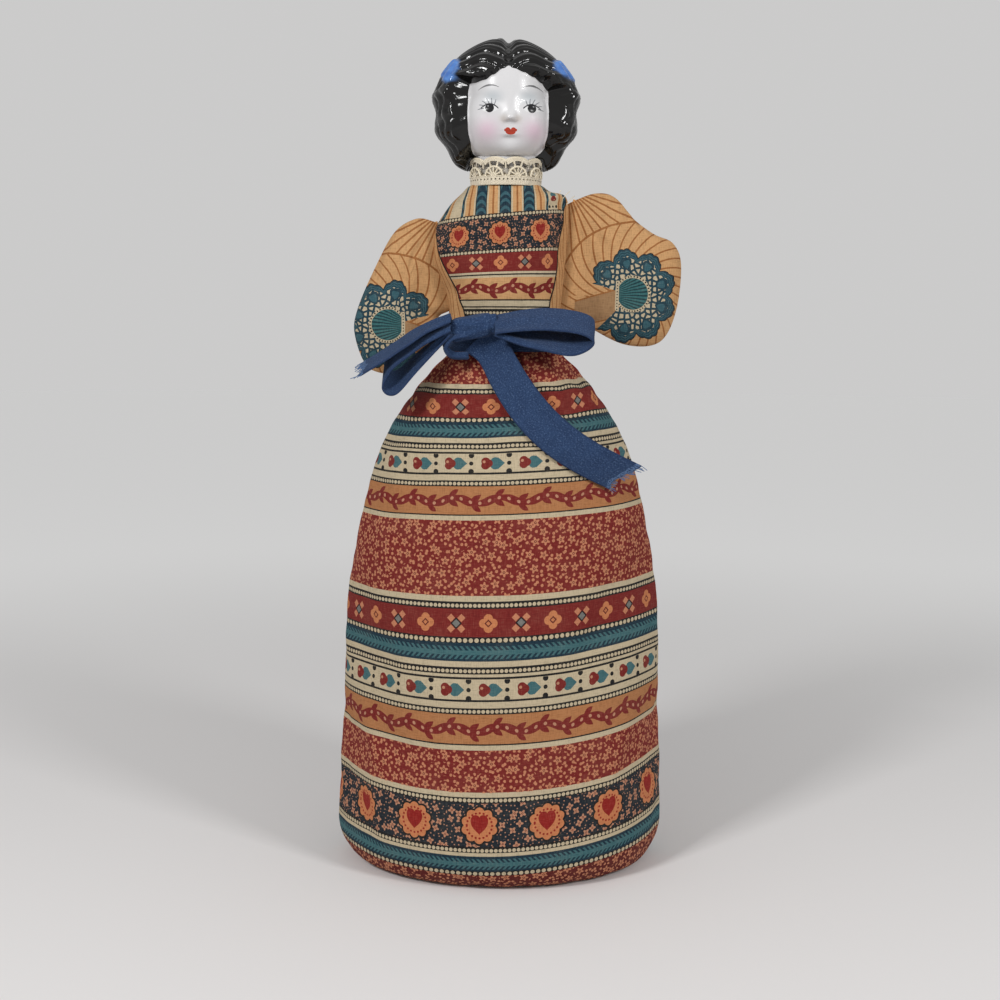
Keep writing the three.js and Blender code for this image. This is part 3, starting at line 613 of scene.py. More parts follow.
def skirt_print():
    finish = new_finish("printed_skirt_cotton")
    u, v = finish.cloth()
    low = v - GROUP_START
    high = (v - GROUP_AGAIN) * GROUP_SHRINK
    w = low + (v > GROUP_FOLD) * (high - low)
    hem = v < GROUP_START
    up = 1 - hem
    colour = finish.bands(w, GROUP_SPAN, GROUP_GROUNDS)
    colour = finish.paint(colour, (RED, w < 0), (finish.bands(v, GROUP_SPAN, HEM_GROUNDS), hem))
    hem_calico = either(v < HEM_CALICO_TOP, between(v, HEM_TOP, GROUP_START))
    calico = either(hem_calico, both(v > GROUP_START, either(w < 0, w > GROUP_TOP)))
    colour = finish.paint(colour, (sprigs(finish, colour, u, v, 4.4, 5, 0.3, TAN), calico))
    sprinkled = sprigs(finish, colour, u, v, 3.6, 4, 0.16, PINK_TAN)
    hearts = rosettes(finish, sprinkled, u, v - 28.9, 1, -2.5)
    colour = finish.paint(colour, (hearts, between(v, *HEM_HEARTS)))
    for bottom, top, motif in GROUP_MOTIFS:
        drawn = motif(finish, colour, u, w - (bottom + top) / 2, 1)
        colour = finish.paint(colour, (drawn, both(up, between(w, bottom, top))))
    colour = finish.paint(colour, (fern(finish, colour, u, v - 15.7, 0.9), between(v, *HEM_FERN)))
    bead_rows = [(w, row, up, SMALL_BEAD) for row in (12.95, 26.35, 47.7)]
    bead_rows += [(v, row, hem, SMALL_BEAD) for row in (20.5, 37.2)]
    bead_rows += [(w, 36.4, up, LARGE_BEAD), (v, 12.2, hem, LARGE_BEAD)]
    for place, row, inside, bead in bead_rows:
        strung = beads(finish, colour, u, place - row, *bead)
        colour = finish.paint(colour, (strung, both(inside, abs(place - row) < 1)))
    cotton_feel(finish, colour, u, v)
    return finish


skirt_cotton = skirt_print()
print("skirt print:", len(skirt_cotton.tree.nodes), "nodes")

# %% [markdown]
# ## The skirt
# The skirt is two bell-shaped panels, sewn together down the sides, gathered at the waist and closed by a
# flat oval base. It is a stack of oval rings from the middle of the base, round the hem and up to the waist.
# The side seams draw in a narrow channel, the waist is gathered, and the stuffing is a little lumpy.

# %% Skirt shape
WAIST_HEIGHT = 184
WAIST_HALF_WIDTH = 19.2
SKIRT_TOP = 179
HEM_HALF_WIDTH = 58.4
DEPTH_RATIO = 0.75
SKIRT_COLUMNS = 160
BASE_SHARES = (0.02, 0.25, 0.5, 0.75, 0.9, 0.97)
SKIRT_SEAM_ROW = len(BASE_SHARES)
HEM_ROLL_HEIGHT = 14
HEM_ROLL_INSET = 12
HEM_ROLL_STEPS = 9
SKIRT_SIDE_STEPS = 60
ARC_STEPS = 8


def skirt_half_width(height):
    share = min(height / SKIRT_TOP, 1)
    fullness = (1 - 0.17 * share) * (1 - share**6)
    return WAIST_HALF_WIDTH + (HEM_HALF_WIDTH - WAIST_HALF_WIDTH) * fullness


def skirt_rows():
    """Half widths and heights from the middle of the base to the middle of the waist."""
    full = skirt_half_width(HEM_ROLL_HEIGHT)
    rows = [((full - HEM_ROLL_INSET) * share, 0) for share in BASE_SHARES]
    for step in range(HEM_ROLL_STEPS):
        angle = step / HEM_ROLL_STEPS * math.pi / 2
        rows.append((full - HEM_ROLL_INSET * (1 - math.sin(angle)), HEM_ROLL_HEIGHT * (1 - math.cos(angle))))
    for step in range(SKIRT_SIDE_STEPS + 1):
        height = mix(HEM_ROLL_HEIGHT, SKIRT_TOP, math.sin(step / SKIRT_SIDE_STEPS * math.pi / 2))
        rows.append((skirt_half_width(height), height))
    rows.append((WAIST_HALF_WIDTH, WAIST_HEIGHT - 1))
    return [*rows, (WAIST_HALF_WIDTH * 0.6, WAIST_HEIGHT), (0.3, WAIST_HEIGHT)]


def oval_arcs(columns):
    """Arc lengths along an oval of unit half width, from its front to each column."""
    arcs = [0]
    count = columns * ARC_STEPS
    for step in range(count):
        angle = (step + 0.5) / count * TURN
        piece = math.hypot(math.cos(angle), DEPTH_RATIO * math.sin(angle)) * TURN / count
        arcs.append(arcs[-1] + piece)
    return arcs[::ARC_STEPS]


def seam_distance(column, columns):
    """How many columns lie between this one and the nearer side seam."""
    return min(abs(column - columns // 4), abs(column - 3 * columns // 4))


def panel_middle(face_column, columns):
    """The column in the middle of the front or back panel that a face belongs to."""
    half = columns // 2
    return (face_column + columns // 4) // half * half


SKIRT_ROWS = skirt_rows()
SKIRT_ARCS = oval_arcs(SKIRT_COLUMNS)
skirt_lengths = [0]
for below, above in zip(SKIRT_ROWS, SKIRT_ROWS[1:]):
    step = math.hypot((above[0] - below[0]) * DEPTH_RATIO, above[1] - below[1])
    skirt_lengths.append(skirt_lengths[-1] + step)
print("skirt:", round(skirt_lengths[-1]), "mm of cloth from the middle of the base to the waist")


def skirt_point(row, column):
    width, height = SKIRT_ROWS[row]
    angle = column / SKIRT_COLUMNS * TURN
    away = seam_distance(column, SKIRT_COLUMNS)
    above_hem = smooth(0, 6, height)
    lump = noise.noise(Vector((math.sin(angle) * 1.6, math.cos(angle) * 1.6, height / 38))) * 1.1
    pucker = math.sin(height * 0.95) * 0.4 * bell(away / 3)
    groove = -1.1 * bell(away / 0.8)
    gather = smooth(158, 176, height) * (1 - smooth(181, 184, height))
    fold = math.sin(angle * 19 + 2.2 * math.sin(angle * 3)) * 0.75 * gather
    grow = (lump + pucker + groove) * above_hem + fold
    share = max(width + grow - 0.6 * above_hem, 0.1)
    return on_ring(angle, share, share * DEPTH_RATIO, height)


# %% [markdown]
# The two panels were cut a little off the grain, so the bands climb to the right and sag in the middle. The
# lengths that the print reads are bent the same way, and the back's bands don't quite meet the front's.

# %% Skirt cloth
BACK_SHIFT = 7.5
PRINT_SHIFT = 4.5
SKIRT_TILT = 0.041
SKIRT_SAG = 4.0
SKIRT_SEWN_ABOVE = 172


def skirt_length(row, column, face_column):
    width = SKIRT_ROWS[row][0]
    rise = skirt_lengths[row] - skirt_lengths[SKIRT_SEAM_ROW]
    middle = panel_middle(face_column, SKIRT_COLUMNS)
    u = (SKIRT_ARCS[column] - SKIRT_ARCS[middle]) * width
    across = math.sin((column - middle) / SKIRT_COLUMNS * TURN)
    hang = SKIRT_SAG * (1 - 0.75 * smooth(20, 140, rise)) * across * across * smooth(0, 15, rise)
    v = rise - SKIRT_TILT * across * width - hang
    return (u + PRINT_SHIFT, v + (BACK_SHIFT if middle == SKIRT_COLUMNS // 2 else 0))


def skirt_is_sewn(vert):
    at_end = vert.co.z < 0.5 or vert.co.z > SKIRT_SEWN_ABOVE
    return at_end or seam_distance(vert[column_of], SKIRT_COLUMNS) < 1


skirt_bm = stack(len(SKIRT_ROWS), SKIRT_COLUMNS, skirt_point)
write_lengths(skirt_bm, SKIRT_COLUMNS, skirt_length)
column_of = skirt_bm.verts.layers.int["column"]
skirt_sewn = sewn_points(skirt_bm, skirt_is_sewn)
skirt = finish_piece(skirt_bm, "skirt", skirt_cotton)
stuff(skirt, skirt_sewn, reach=1.2, pressure=4.0)
soften(skirt)
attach(skirt, "body")
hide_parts("skirt_front", "skirt_back", "skirt_base", "skirt_stuffing")

# %% [markdown]
# ## The bodice
# The bodice is cut from the same cloth, where narrower bands fill a bib that is outlined in black. Above it,
# plaited stripes run straight up to the neck, where the shoulders' seams cut them off.

# %% Bodice print
# The gold of the chest and arms is a lighter copy of the skirt's GOLD: painted light, for the brighter light
# on the upper doll.
LIT_UPPER_GOLD = ink(198, 152, 104)
GATHER_BROWN = ink(152, 98, 54)
MID_TEAL = ink(52, 90, 100)
NECK_CREAM = ink(204, 198, 188)
BODICE_SPAN = 60
BODICE_HEARTS = (29.6, 40.0)
BODICE_FLOWERS = (21.9, 28.2)
BODICE_VINE = (12.9, 20.0)
STRIPES_START = 41.4
STRIPE_PITCH = 8.1
NECK_EDGE = 51.6
# The lowest band, from the waist up to 9.4 mm, is black: painted shade above the sash, with the print's two
# rows of pale beads on it.
BODICE_GROUNDS = [
    (0, BLACK), (9.4, CREAM), (10.0, BLACK), (10.4, CREAM), (12.3, BLACK), (12.8, LIT_UPPER_GOLD),
    (20.0, CREAM), (20.8, BLACK), (21.2, CREAM), (21.9, RED), (28.2, BLACK), (29.6, CHARCOAL), (40.0, BLACK),
    (STRIPES_START, LIT_UPPER_GOLD),
]


def stripes(finish, colour, u, w):
    """Plaited teal stripes, edged in cream, with a thin brown line between each two."""
    x = repeat(u, STRIPE_PITCH)
    plait = repeat(w + x * x * 0.5, 2.5) > 0.1
    return finish.paint(
        colour,
        (CREAM, abs(x) < 2.5),
        (BLACK, abs(x) < 1.95),
        (finish.paint(DEEP_TEAL, (MID_TEAL, plait)), abs(x) < 1.7),
        (GATHER_BROWN, abs(repeat(u, STRIPE_PITCH, STRIPE_PITCH / 2)) < 0.3),
    )


def bodice_print():
    finish = new_finish("printed_bodice_cotton")
    u, w = finish.cloth()
    colour = finish.bands(w, BODICE_SPAN, BODICE_GROUNDS)
    colour = finish.paint(colour, (stripes(finish, colour, u, w), w > STRIPES_START))
    sprinkled = sprigs(finish, colour, u, w, 2.5, 4, 0.16, PINK_TAN)
    hearts = rosettes(finish, sprinkled, u, w - 34.9, 0.62, -1.8)
    colour = finish.paint(
        colour,
        (hearts, between(w, *BODICE_HEARTS)),
        (flowers(finish, colour, u + 1.5, w - 25.1, 0.77), between(w, *BODICE_FLOWERS)),
        (vine(finish, colour, u, w - 16.5, 0.85), between(w, *BODICE_VINE)),
    )
    for row in (6.2, 8.3, 28.9, 40.7):
        strung = beads(finish, colour, u, w - row, 1.2, 0.48)
        colour = finish.paint(colour, (strung, abs(w - row) < 0.8))
    patch = both(w > STRIPES_START, between(abs(u), 15.2, 19.6))
    colour = finish.paint(colour, (buds(finish, CREAM, w + 3, u - 17.4, 0.55), patch))
    right_edge = (w - 13) * 0.24 + 17.4
    left_edge = (w - 13) * 0.42 + 16.6
    gathers = abs(repeat(u + w * 0.2, 2.6)) < 0.22
    # Outside the bib the bodice is the lighter gold, painted light, with brown gather lines on it.
    colour = finish.paint(
        finish.paint(LIT_UPPER_GOLD, (GATHER_BROWN, gathers)),
        (colour, both(u < right_edge, u > left_edge * -1)),
        (BLACK, either(abs(u - right_edge) < 0.35, abs(u + left_edge) < 0.35)),
        (NECK_CREAM, w > NECK_EDGE),
    )
    cotton_feel(finish, colour, u, w)
    return finish


bodice_cotton = bodice_print()
print("bodice print:", len(bodice_cotton.tree.nodes), "nodes")

# %% [markdown]
# The bodice's rings follow its solid: drawn in under the sash, full at the chest, and rounded over to the
# neck. The stuffing has settled to one side, so the right shoulder is lifted. The neck's edge is turned in
# and left open for the china.

# %% Bodice shape
NECKLINE = 235
CHEST_HEIGHT = 218
SHOULDER_HEIGHT = 228
SHOULDER_LIFT = 4
NECK_CLOTH_TOP = 241.5
SASH_TOP = 189
NECK_CLOTH_RADIUS = 9.8
CHEST_HALF_WIDTH = 22.2
CHEST_HALF_DEPTH = 15.4
FULL_SIDE = 2.6
NECK_ROLL = 2.1
NECK_ROLL_RADIUS = 12.8
BODICE_COLUMNS = 128
RISE_STEPS = 14
ROUND_STEPS = 16
BODICE_ARCS = oval_arcs(BODICE_COLUMNS)
BODICE_ROWS = [WAIST_HEIGHT, WAIST_HEIGHT, WAIST_HEIGHT + 2.5]
BODICE_ROWS += [mix(SASH_TOP, CHEST_HEIGHT, step / RISE_STEPS) for step in range(RISE_STEPS + 1)]
for step in range(1, ROUND_STEPS + 1):
    BODICE_ROWS.append(mix(CHEST_HEIGHT, NECKLINE, math.sin(step / ROUND_STEPS * math.pi / 2)))
BODICE_ROWS += [238, NECK_CLOTH_TOP]


def bodice_oval(height):
    chest = smooth(SASH_TOP, CHEST_HEIGHT, height)
    climb = min(max((height - CHEST_HEIGHT) / (NECKLINE - CHEST_HEIGHT), 0), 1)
    full = 1 - climb**5
    width = mix(WAIST_HALF_WIDTH, CHEST_HALF_WIDTH, chest)
    depth = mix(WAIST_HALF_WIDTH * DEPTH_RATIO, CHEST_HALF_DEPTH, chest)
    return mix(NECK_CLOTH_RADIUS, width, full), mix(NECK_CLOTH_RADIUS, depth, full)


def shoulder_lift(x, height):
    rising = smooth(SASH_TOP, SHOULDER_HEIGHT, height)
    falling = 1 - smooth(SHOULDER_HEIGHT, NECKLINE, height)
    return SHOULDER_LIFT * x / CHEST_HALF_WIDTH * rising * falling


def bodice_point(row, column):
    height = BODICE_ROWS[row]
    width, depth = bodice_oval(height)
    angle = column / BODICE_COLUMNS * TURN
    if row == 0:
        width, depth = 0.3, 0.3
    free = smooth(190, 200, height) * (1 - smooth(229, 235, height))
    lump = noise.noise(Vector((math.sin(angle) * 1.9, math.cos(angle) * 1.9, height / 17))) * 0.7 * free
    drawn = math.sin(angle * 15) * 0.35 * (smooth(233, 236, height) + 1 - smooth(188, 197, height))
    on_left = max(-math.sin(angle), 0) ** 2
    full_side = FULL_SIDE * on_left * smooth(192, 217, height) * (1 - smooth(224, 234, height))
    grow = lump + drawn * smooth(184, 186, height) + full_side - 0.2
    point = on_ring(angle, width + grow, depth + grow, height)
    rolled = NECK_ROLL * bell((width - NECK_ROLL_RADIUS) / 1.3) * smooth(232, 234, height)
    point.z = height + shoulder_lift((width + grow) * math.sin(angle), height) + rolled
    return point


def bodice_length(row, column, face_column):
    height = BODICE_ROWS[row]
    width = bodice_oval(height)[0]
    arc = BODICE_ARCS[column] - BODICE_ARCS[panel_middle(face_column, BODICE_COLUMNS)]
    x = width * math.sin(column / BODICE_COLUMNS * TURN)
    return (arc * width, height - WAIST_HEIGHT + 0.5 * shoulder_lift(x, height))


def bodice_is_sewn(vert):
    return vert.co.z < 192 or vert.co.z > 231 or abs(vert.co.y) < 2.5


bodice_bm = stack(len(BODICE_ROWS), BODICE_COLUMNS, bodice_point, (True, False))
write_lengths(bodice_bm, BODICE_COLUMNS, bodice_length)
bodice_sewn = sewn_points(bodice_bm, bodice_is_sewn)
bodice = finish_piece(bodice_bm, "bodice", bodice_cotton)
stuff(bodice, bodice_sewn, reach=0.7, pressure=3.0)
soften(bodice)
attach(bodice, "body")
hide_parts("bodice_front", "bodice_back", "torso_stuffing")

# %% [markdown]
# ## The sleeves' print
# Each arm is printed as a gathered gold sleeve. Brown gather lines fan out from the shoulder to an arc, swirl
# from there to a round lace ruffle, and a plain tan hand reaches from the ruffle towards the waist. All of it
# is measured from the middle of the ruffle: p outwards and q upwards.

# %% Sleeve print
HAND_TAN = ink(158, 122, 86)
RUFFLE_TEAL = ink(30, 60, 72)
CUFF_TEAL = ink(54, 102, 104)
PLEAT_TEAL = ink(26, 56, 62)
RUFFLE_RADIUS = 15.5
RUFFLE_LOBES = 9
LOBE_TURN = TURN / RUFFLE_LOBES
ARC_RADIUS = 25
HAND_SPAN = (-19, -4.4)
HAND_HALF_WIDTH = 4.6
CUFF_MIDDLE = 0.6


def sleeve_print(name, shoulder):
    finish = new_finish(name)
    p, q = finish.cloth()
    reach = distance(p, q)
    angle = q.math("ARCTAN2", p)
    fan_p, fan_q = p - shoulder[0], q - shoulder[1]
    fan = abs(repeat(fan_q.math("ARCTAN2", fan_p), 0.15)) * distance(fan_p, fan_q) < 0.3
    swirl = abs(repeat(angle + reach * 0.035, 0.2)) * reach < 0.32
    lines = either(both(fan, reach > ARC_RADIUS), both(swirl, reach < ARC_RADIUS))
    hand_q = q - p * 0.28 + 1.2
    hand = between(p, *HAND_SPAN)
    scallops = abs((angle * (RUFFLE_LOBES / 2)).math("SINE")) * 2.8 + abs((angle * 18).math("SINE")) * 0.5
    rim = scallops + (RUFFLE_RADIUS - 2.7)
    closed = 1 - both(either(angle > 2.85, angle < -2.35), reach > 5.4)
    grain = both(abs(repeat(rim - reach, 0.8)) < 0.2, between(rim - reach, 0.5, 2.4))
    net = finish.cells(finish.spot(p, q), 0.54, 0.7, "DISTANCE_TO_EDGE")
    inner = both(reach < scallops * 0.85 + (RUFFLE_RADIUS - 4.6), net > 0.2)
    leaf_x = abs(repeat(angle, LOBE_TURN, LOBE_TURN / 2)) * 10.6
    leaf_q = reach - 10.9 - leaf_x * 0.5
    leaf = (leaf_x * leaf_x + leaf_q * leaf_q * 0.8).math("SQRT")
    cuff_p, cuff_q = p - CUFF_MIDDLE, q - CUFF_MIDDLE
    beading = both(repeat(angle * 6.5, 1.1) > 0.1, abs(distance(cuff_p, cuff_q) - 5.9) < 0.3)
    pleat = abs(repeat(q.math("ARCTAN2", p + 9), 0.095)) * 10 < 0.2
    stitches = both(repeat(q, 1.0) > 0.1, abs(q) < 5)
    # The sleeve's ground is the lighter gold of the upper doll, painted light.
    colour = finish.paint(
        LIT_UPPER_GOLD,
        (GATHER_BROWN, either(lines, abs(reach - ARC_RADIUS) < 0.35)),
        (HAND_TAN, both(abs(hand_q) < HAND_HALF_WIDTH, hand)),
        (GATHER_BROWN, both(abs(abs(hand_q) - HAND_HALF_WIDTH) < 0.25, hand)),
        (BLACK, both(closed, reach < rim + 0.3)),
        (RUFFLE_TEAL, both(closed, reach < rim)),
        (MID_TEAL, both(closed, grain)),
        (CREAM, both(closed, inner)),
        (RUFFLE_TEAL, both(closed, leaf < 1.85)),
        (MID_TEAL, both(closed, leaf < 1.2)),
        (CREAM, both(disc(cuff_p, cuff_q, 6.3), p > -5.2)),
        (BLACK, both(beading, p > -5.2)),
        (finish.paint(CUFF_TEAL, (PLEAT_TEAL, pleat)), both(disc(cuff_p, cuff_q, 5.4), p > -4.6)),
        (CREAM, both(between(p, -5.4, -4.2), abs(q) < 5)),
        (BLACK, both(abs(p + 4.8) < 0.2, stitches)),
    )
    cotton_feel(finish, colour, p, q)
    return finish


print("sleeve print ready")

# %% [markdown]
# ## The arms
# An arm is a front and a back panel sewn together round the edge and stuffed. Its outline is a smooth curve
# through a few points, and its rings run from the middle of the front, out to the edge and in to the middle
# of the back. It is thin where it meets the shoulder seam, so it can swing there.

# %% Arm shapes
ARM_HALF_THICKNESS = 8.5
ARM_EDGE_COLUMNS = 88
ARM_SEAM_COLUMNS = 16
ARM_COLUMNS = ARM_EDGE_COLUMNS + ARM_SEAM_COLUMNS
ARM_SHARES = [0.03, 0.12, 0.22, 0.32, 0.42, 0.52, 0.62, 0.7, 0.78, 0.85, 0.905, 0.945, 0.97, 0.988, 0.997]
ARM_ROWS = [*ARM_SHARES, 1.0, *reversed(ARM_SHARES)]
ARM_RIM = len(ARM_SHARES)
RIGHT_ARM_OUTLINE = [
    (6.5, 2.2), (13, 1), (20, -6.5), (27, -11.5), (33.5, -14.5), (36.5, -22), (35, -38), (29.5, -48.5),
    (18, -49.5), (6, -44),
]
LEFT_ARM_OUTLINE = [
    (6, 1), (13.5, -3.5), (20, -15), (26.5, -30), (27.5, -39), (23, -50), (14, -52.5), (6.5, -51), (2.5, -45),
]
LEFT_SEAM = (Vector((21.5, 192.9)), Vector((23.66, 223.5)))
RIGHT_SEAM = (Vector((21.43, 192.98)), Vector((23.6, 231.26)))
LEFT_RUFFLE = (15, -36)
RIGHT_RUFFLE = (18.8, -32.7)
FAN_FROM = (-3, 4)
SEAM_CLEARANCE = 0.75
SEAM_TUCK = 4.6
SEAM_HELD = 5


def curve_point(points, share):
    """A point on the smooth curve that passes through all the given ones."""
    place = share * (len(points) - 1)
    index = min(int(place), len(points) - 2)
    t = place - index
    before, start, end, after = (points[min(max(index + k, 0), len(points) - 1)] for k in (-1, 0, 1, 2))
    leave, arrive = (end - before) * 0.5, (after - start) * 0.5
    turn = (start - end) * 2 + leave + arrive
    return start + leave * t + ((end - start) * 3 - leave * 2 - arrive) * t * t + turn * t * t * t


def arm_outline(top, bottom, outline, tuck):
    """Points round an arm's edge as (distance from the middle plane, height), ending along its seam."""
    through = [top, *[top + Vector(step) for step in outline], bottom]
    edge = [curve_point(through, step / ARM_EDGE_COLUMNS) for step in range(ARM_EDGE_COLUMNS)]
    return edge + [bottom.lerp(top, step / ARM_SEAM_COLUMNS) + tuck for step in range(ARM_SEAM_COLUMNS)]


def make_arm(name, side, seam_bottom, seam_top, outline, ruffle):
    along = (seam_top - seam_bottom).normalized()
    out = Vector((along.y, -along.x))
    top = seam_top + out * SEAM_CLEARANCE
    edge = arm_outline(top, seam_bottom + out * SEAM_CLEARANCE, outline, -out * SEAM_TUCK)
    centre = sum(edge, Vector((0, 0))) / len(edge)

    def flat_place(row, column):
        return centre.lerp(edge[column % ARM_COLUMNS], ARM_ROWS[row])

    def place(row, column):
        share = ARM_ROWS[row]
        spot = flat_place(row, column)
        from_seam = (spot - seam_bottom).dot(out)
        pinch = mix(0.45, 1, smooth(0, 13, from_seam))
        swell = ARM_HALF_THICKNESS * pinch * (1 - share**2.4) ** 0.6
        face = -1 if row <= ARM_RIM else 1
        lump = noise.noise(Vector((spot.x / 11, spot.y / 11, face * 2.3))) * 0.55
        radial = (top - spot).angle_signed(out, 0)
        tuck = math.sin(radial * 17) * 0.55 * (1 - smooth(4, 17, from_seam)) * (1 - share**6)
        pucker = math.sin(column * 1.15) * 0.22 * smooth(0.8, 0.97, share) * (1 - smooth(0.985, 1, share))
        grown = max(swell * 0.97 + (lump + tuck) * (1 - share**3) + pucker, 0)
        return Vector((side * spot.x, face * grown, spot.y))

    def length(row, column, face_column):
        spot = flat_place(row, column) - top
        return (spot.x - ruffle[0], spot.y - ruffle[1])

    def is_sewn(vert):
        from_seam = Vector((side * vert.co.x, vert.co.z)).dot(out) - seam_bottom.dot(out)
        return abs(vert[row_of] - ARM_RIM) < 2 or from_seam < SEAM_HELD

    finish = sleeve_print(name + "_sleeve_cotton", (FAN_FROM[0] - ruffle[0], FAN_FROM[1] - ruffle[1]))
    bm = stack(len(ARM_ROWS), ARM_COLUMNS, place)
    write_lengths(bm, ARM_COLUMNS, length)
    row_of = bm.verts.layers.int["row"]
    sewn = sewn_points(bm, is_sewn)
    arm = finish_piece(bm, name + "_arm", finish)
    stuff(arm, sewn, reach=0.8, pressure=4.0)
    soften(arm)
    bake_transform(arm)
    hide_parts(name + "_sleeve_front", name + "_sleeve_back", name + "_arm_stuffing")


make_arm("left", -1, *LEFT_SEAM, LEFT_ARM_OUTLINE, LEFT_RUFFLE)
make_arm("right", 1, *RIGHT_SEAM, RIGHT_ARM_OUTLINE, RIGHT_RUFFLE)

# %% [markdown]
# ## The china head
# The head is one glazed casting: a face inside a frame of moulded hair, parted in the middle. It is a ball of
# rings whose every point is pushed out to the head's surface. Each point also keeps its share of hair and of
# ribbon, and the shader reads those shares, so the paint stops where the moulding does.

# %% Head shape
HEAD_CENTRE = 264
HEAD_COLUMNS = 288
HEAD_ROWS = 190
FACE_MIDDLE = 0.6
NOSE_MIDDLE = 1.3
FACE_SIZE = (15.0, 18, 20.5)
HAIR_HALF_WIDTH = 24.5
HAIR_HALF_DEPTH = 21
HAIR_ABOVE = (20.6, 1.66)
HAIR_BELOW = (25.5, 2.4)
HAIR_LEVEL_POWER = 2.4
PARTING_DEPTH = 2.0
PARTING_PLACE = 0.7
PARTING_WIDTH = 1.7
RIBBON_FOLDS = 30
COLLAR_ROOM_TOP = 244.7 - HEAD_CENTRE
COLLAR_ROOM_RADIUS = 12.7
COLLAR_ROOM_OUTER = COLLAR_ROOM_RADIUS + 1.5
HAIRLINE = [
    (-16, 3.6), (-13.5, 4.0), (-9.9, 4.2), (-6.9, 4.9), (-4.4, 6.4), (-1, 8.6), (0.7, 9.6), (2.4, 8.7),
    (5.7, 7.4), (8.7, 6.0), (11.2, 4.4), (13, 2.4), (16, 0),
]
FACE_SIDES = [(-24, 8.5), (-20, 10.9), (-16, 12.5), (-11, 13.4), (-5, 13.6), (0, 13.2), (5, 12.8), (24, 12.8)]
FACE_HILLS = {
    "nose tip": (1.2, 0, -7.3, 1.7, 1.5),
    "nose wings": (0.4, 1.7, -8.3, 0.9, 0.8),
    "eye sockets": (-0.5, 6.2, -3.0, 3.6, 2.4),
    "eyes": (0.6, 7.0, -4.8, 2.6, 1.6),
    "cheeks": (0.6, 8.0, -11.0, 4.4, 3.8),
    "lips": (0.7, 0, -12.2, 2.2, 1.4),
    "mouth line": (-0.4, 0, -12.1, 2.2, 0.35),
    "under the lips": (-0.45, 0, -14.4, 2.6, 0.9),
    "chin": (0.8, 0, -17.2, 3.4, 2.2),
}


def along_line(line, place):
    """Reads a value off a line of (place, value) pairs."""
    for (before, low), (after, high) in zip(line, line[1:]):
        if place <= after:
            return mix(low, high, smooth(before, after, place))
    return line[-1][1]


def oval_reach(aim, width, depth, height, power, level_power):
    """How far a rounded block reaches in one direction. Its level cuts have their own power."""
    level = abs(aim.x / width) ** level_power + abs(aim.y / depth) ** level_power
    return (level ** (power / level_power) + abs(aim.z / height) ** power) ** (-1 / power)


def hill(x, z, at_x, at_z, size_x, size_z):
    return math.exp(-(((x - at_x) / size_x) ** 2) - ((z - at_z) / size_z) ** 2)


def hair_over(x, z):
    """Positive where the hair lies, in millimetres from its edge."""
    return max(z - along_line(HAIRLINE, x), abs(x - FACE_MIDDLE) - along_line(FACE_SIDES, z))


def ridge(phase):
    """A rounded lock between two sharp valleys."""
    return abs(math.sin(phase * math.pi)) ** 0.75


def hair_relief(x, y, z):
    """Locks combed sideways from the parting, turning into wavy strands that hang at the sides and back."""
    turn = math.atan2(z + 2, -y)
    combed = turn * 19 + 1.0 * math.sin(abs(x) * 0.5 + turn) - abs(x) * 0.16
    around = abs(math.atan2(x, -y))
    hanging = around * 21 + 1.5 * math.sin(z * 0.74 + around * 2.2)
    top = smooth(2, 9, z + abs(x) * 0.1)
    locks = mix(ridge(hanging / 3.9), ridge(combed / 5.4), top)
    strands = mix(ridge(hanging / 1.3), ridge(combed / 1.8), top)
    sway = math.sin(z * 0.55 + 0.9) * 0.7 * (1 - top) * smooth(10, 18, abs(x))
    return locks * mix(0.95, 1.25, top) + strands * 0.28 + sway - 0.9


def face_relief(x, z):
    side = abs(x - NOSE_MIDDLE)
    relief = bell(side / 2.5) * smooth(3, -7, z) * (1 - smooth(-7, -9, z))
    for rise, *spot in FACE_HILLS.values():
        relief += hill(side, z, *spot) * rise
    return relief


def ribbon_over(x, z):
    """Where the painted ribbons at the temples lie, from 0 to 1."""
    left = hill(x - 0.3 * z, z, -20.9, 8.4, 2.6, 4.2)
    right = hill(x, z + 0.25 * x, 19.8, 14.2, 4.4, 3.2)
    return smooth(0.24, 0.5, max(left, right))


def head_surface(row, column):
    """A point of the head, with its share of hair and of ribbon."""
    tilt = math.pi * (row / (HEAD_ROWS - 1) - 0.5)
    turn = column / HEAD_COLUMNS * TURN
    level = max(math.cos(tilt), 0.002)
    aim = on_ring(turn, level, level, math.sin(tilt))
    face_power = 2.2 + smooth(0, -0.4, aim.z)
    face = oval_reach(aim, *FACE_SIZE, face_power, face_power)
    height, power = HAIR_ABOVE if aim.z > 0 else HAIR_BELOW
    bun = oval_reach(aim, HAIR_HALF_WIDTH, HAIR_HALF_DEPTH, height, power, HAIR_LEVEL_POWER)
    part = PARTING_DEPTH * bell((aim.x * bun - PARTING_PLACE) / PARTING_WIDTH) * smooth(0, 0.4, aim.z)
    bow = ribbon_over(aim.x * bun, aim.z * bun) * (1 - smooth(0.1, 0.4, aim.y))
    relief = hair_relief(*(aim * bun)) * (1 - 0.9 * bow)
    folds = bow * (0.8 + 0.4 * math.cos(turn * RIBBON_FOLDS))
    hair = max(bun + relief + folds - part, face - 2.5 * smooth(0.3, 0.8, aim.z))
    x, _, z = aim * face
    over = 1 if aim.y > 0 else mix(1, smooth(-0.75, 0.75, hair_over(x, z)), smooth(0, -0.25, aim.y))
    bare = face + face_relief(x, z) * smooth(-0.1, -0.5, aim.y)
    point = aim * mix(bare, hair, over)
    radius = math.hypot(point.x, point.y)
    if radius < COLLAR_ROOM_OUTER:
        lowest = COLLAR_ROOM_TOP - 4 * smooth(COLLAR_ROOM_RADIUS, COLLAR_ROOM_OUTER, radius)
        point.z = max(point.z, lowest)
    return point + Vector((0, 0, HEAD_CENTRE)), over, bow * over


def head_point(row, column):
    return head_surface(row, column)[0]


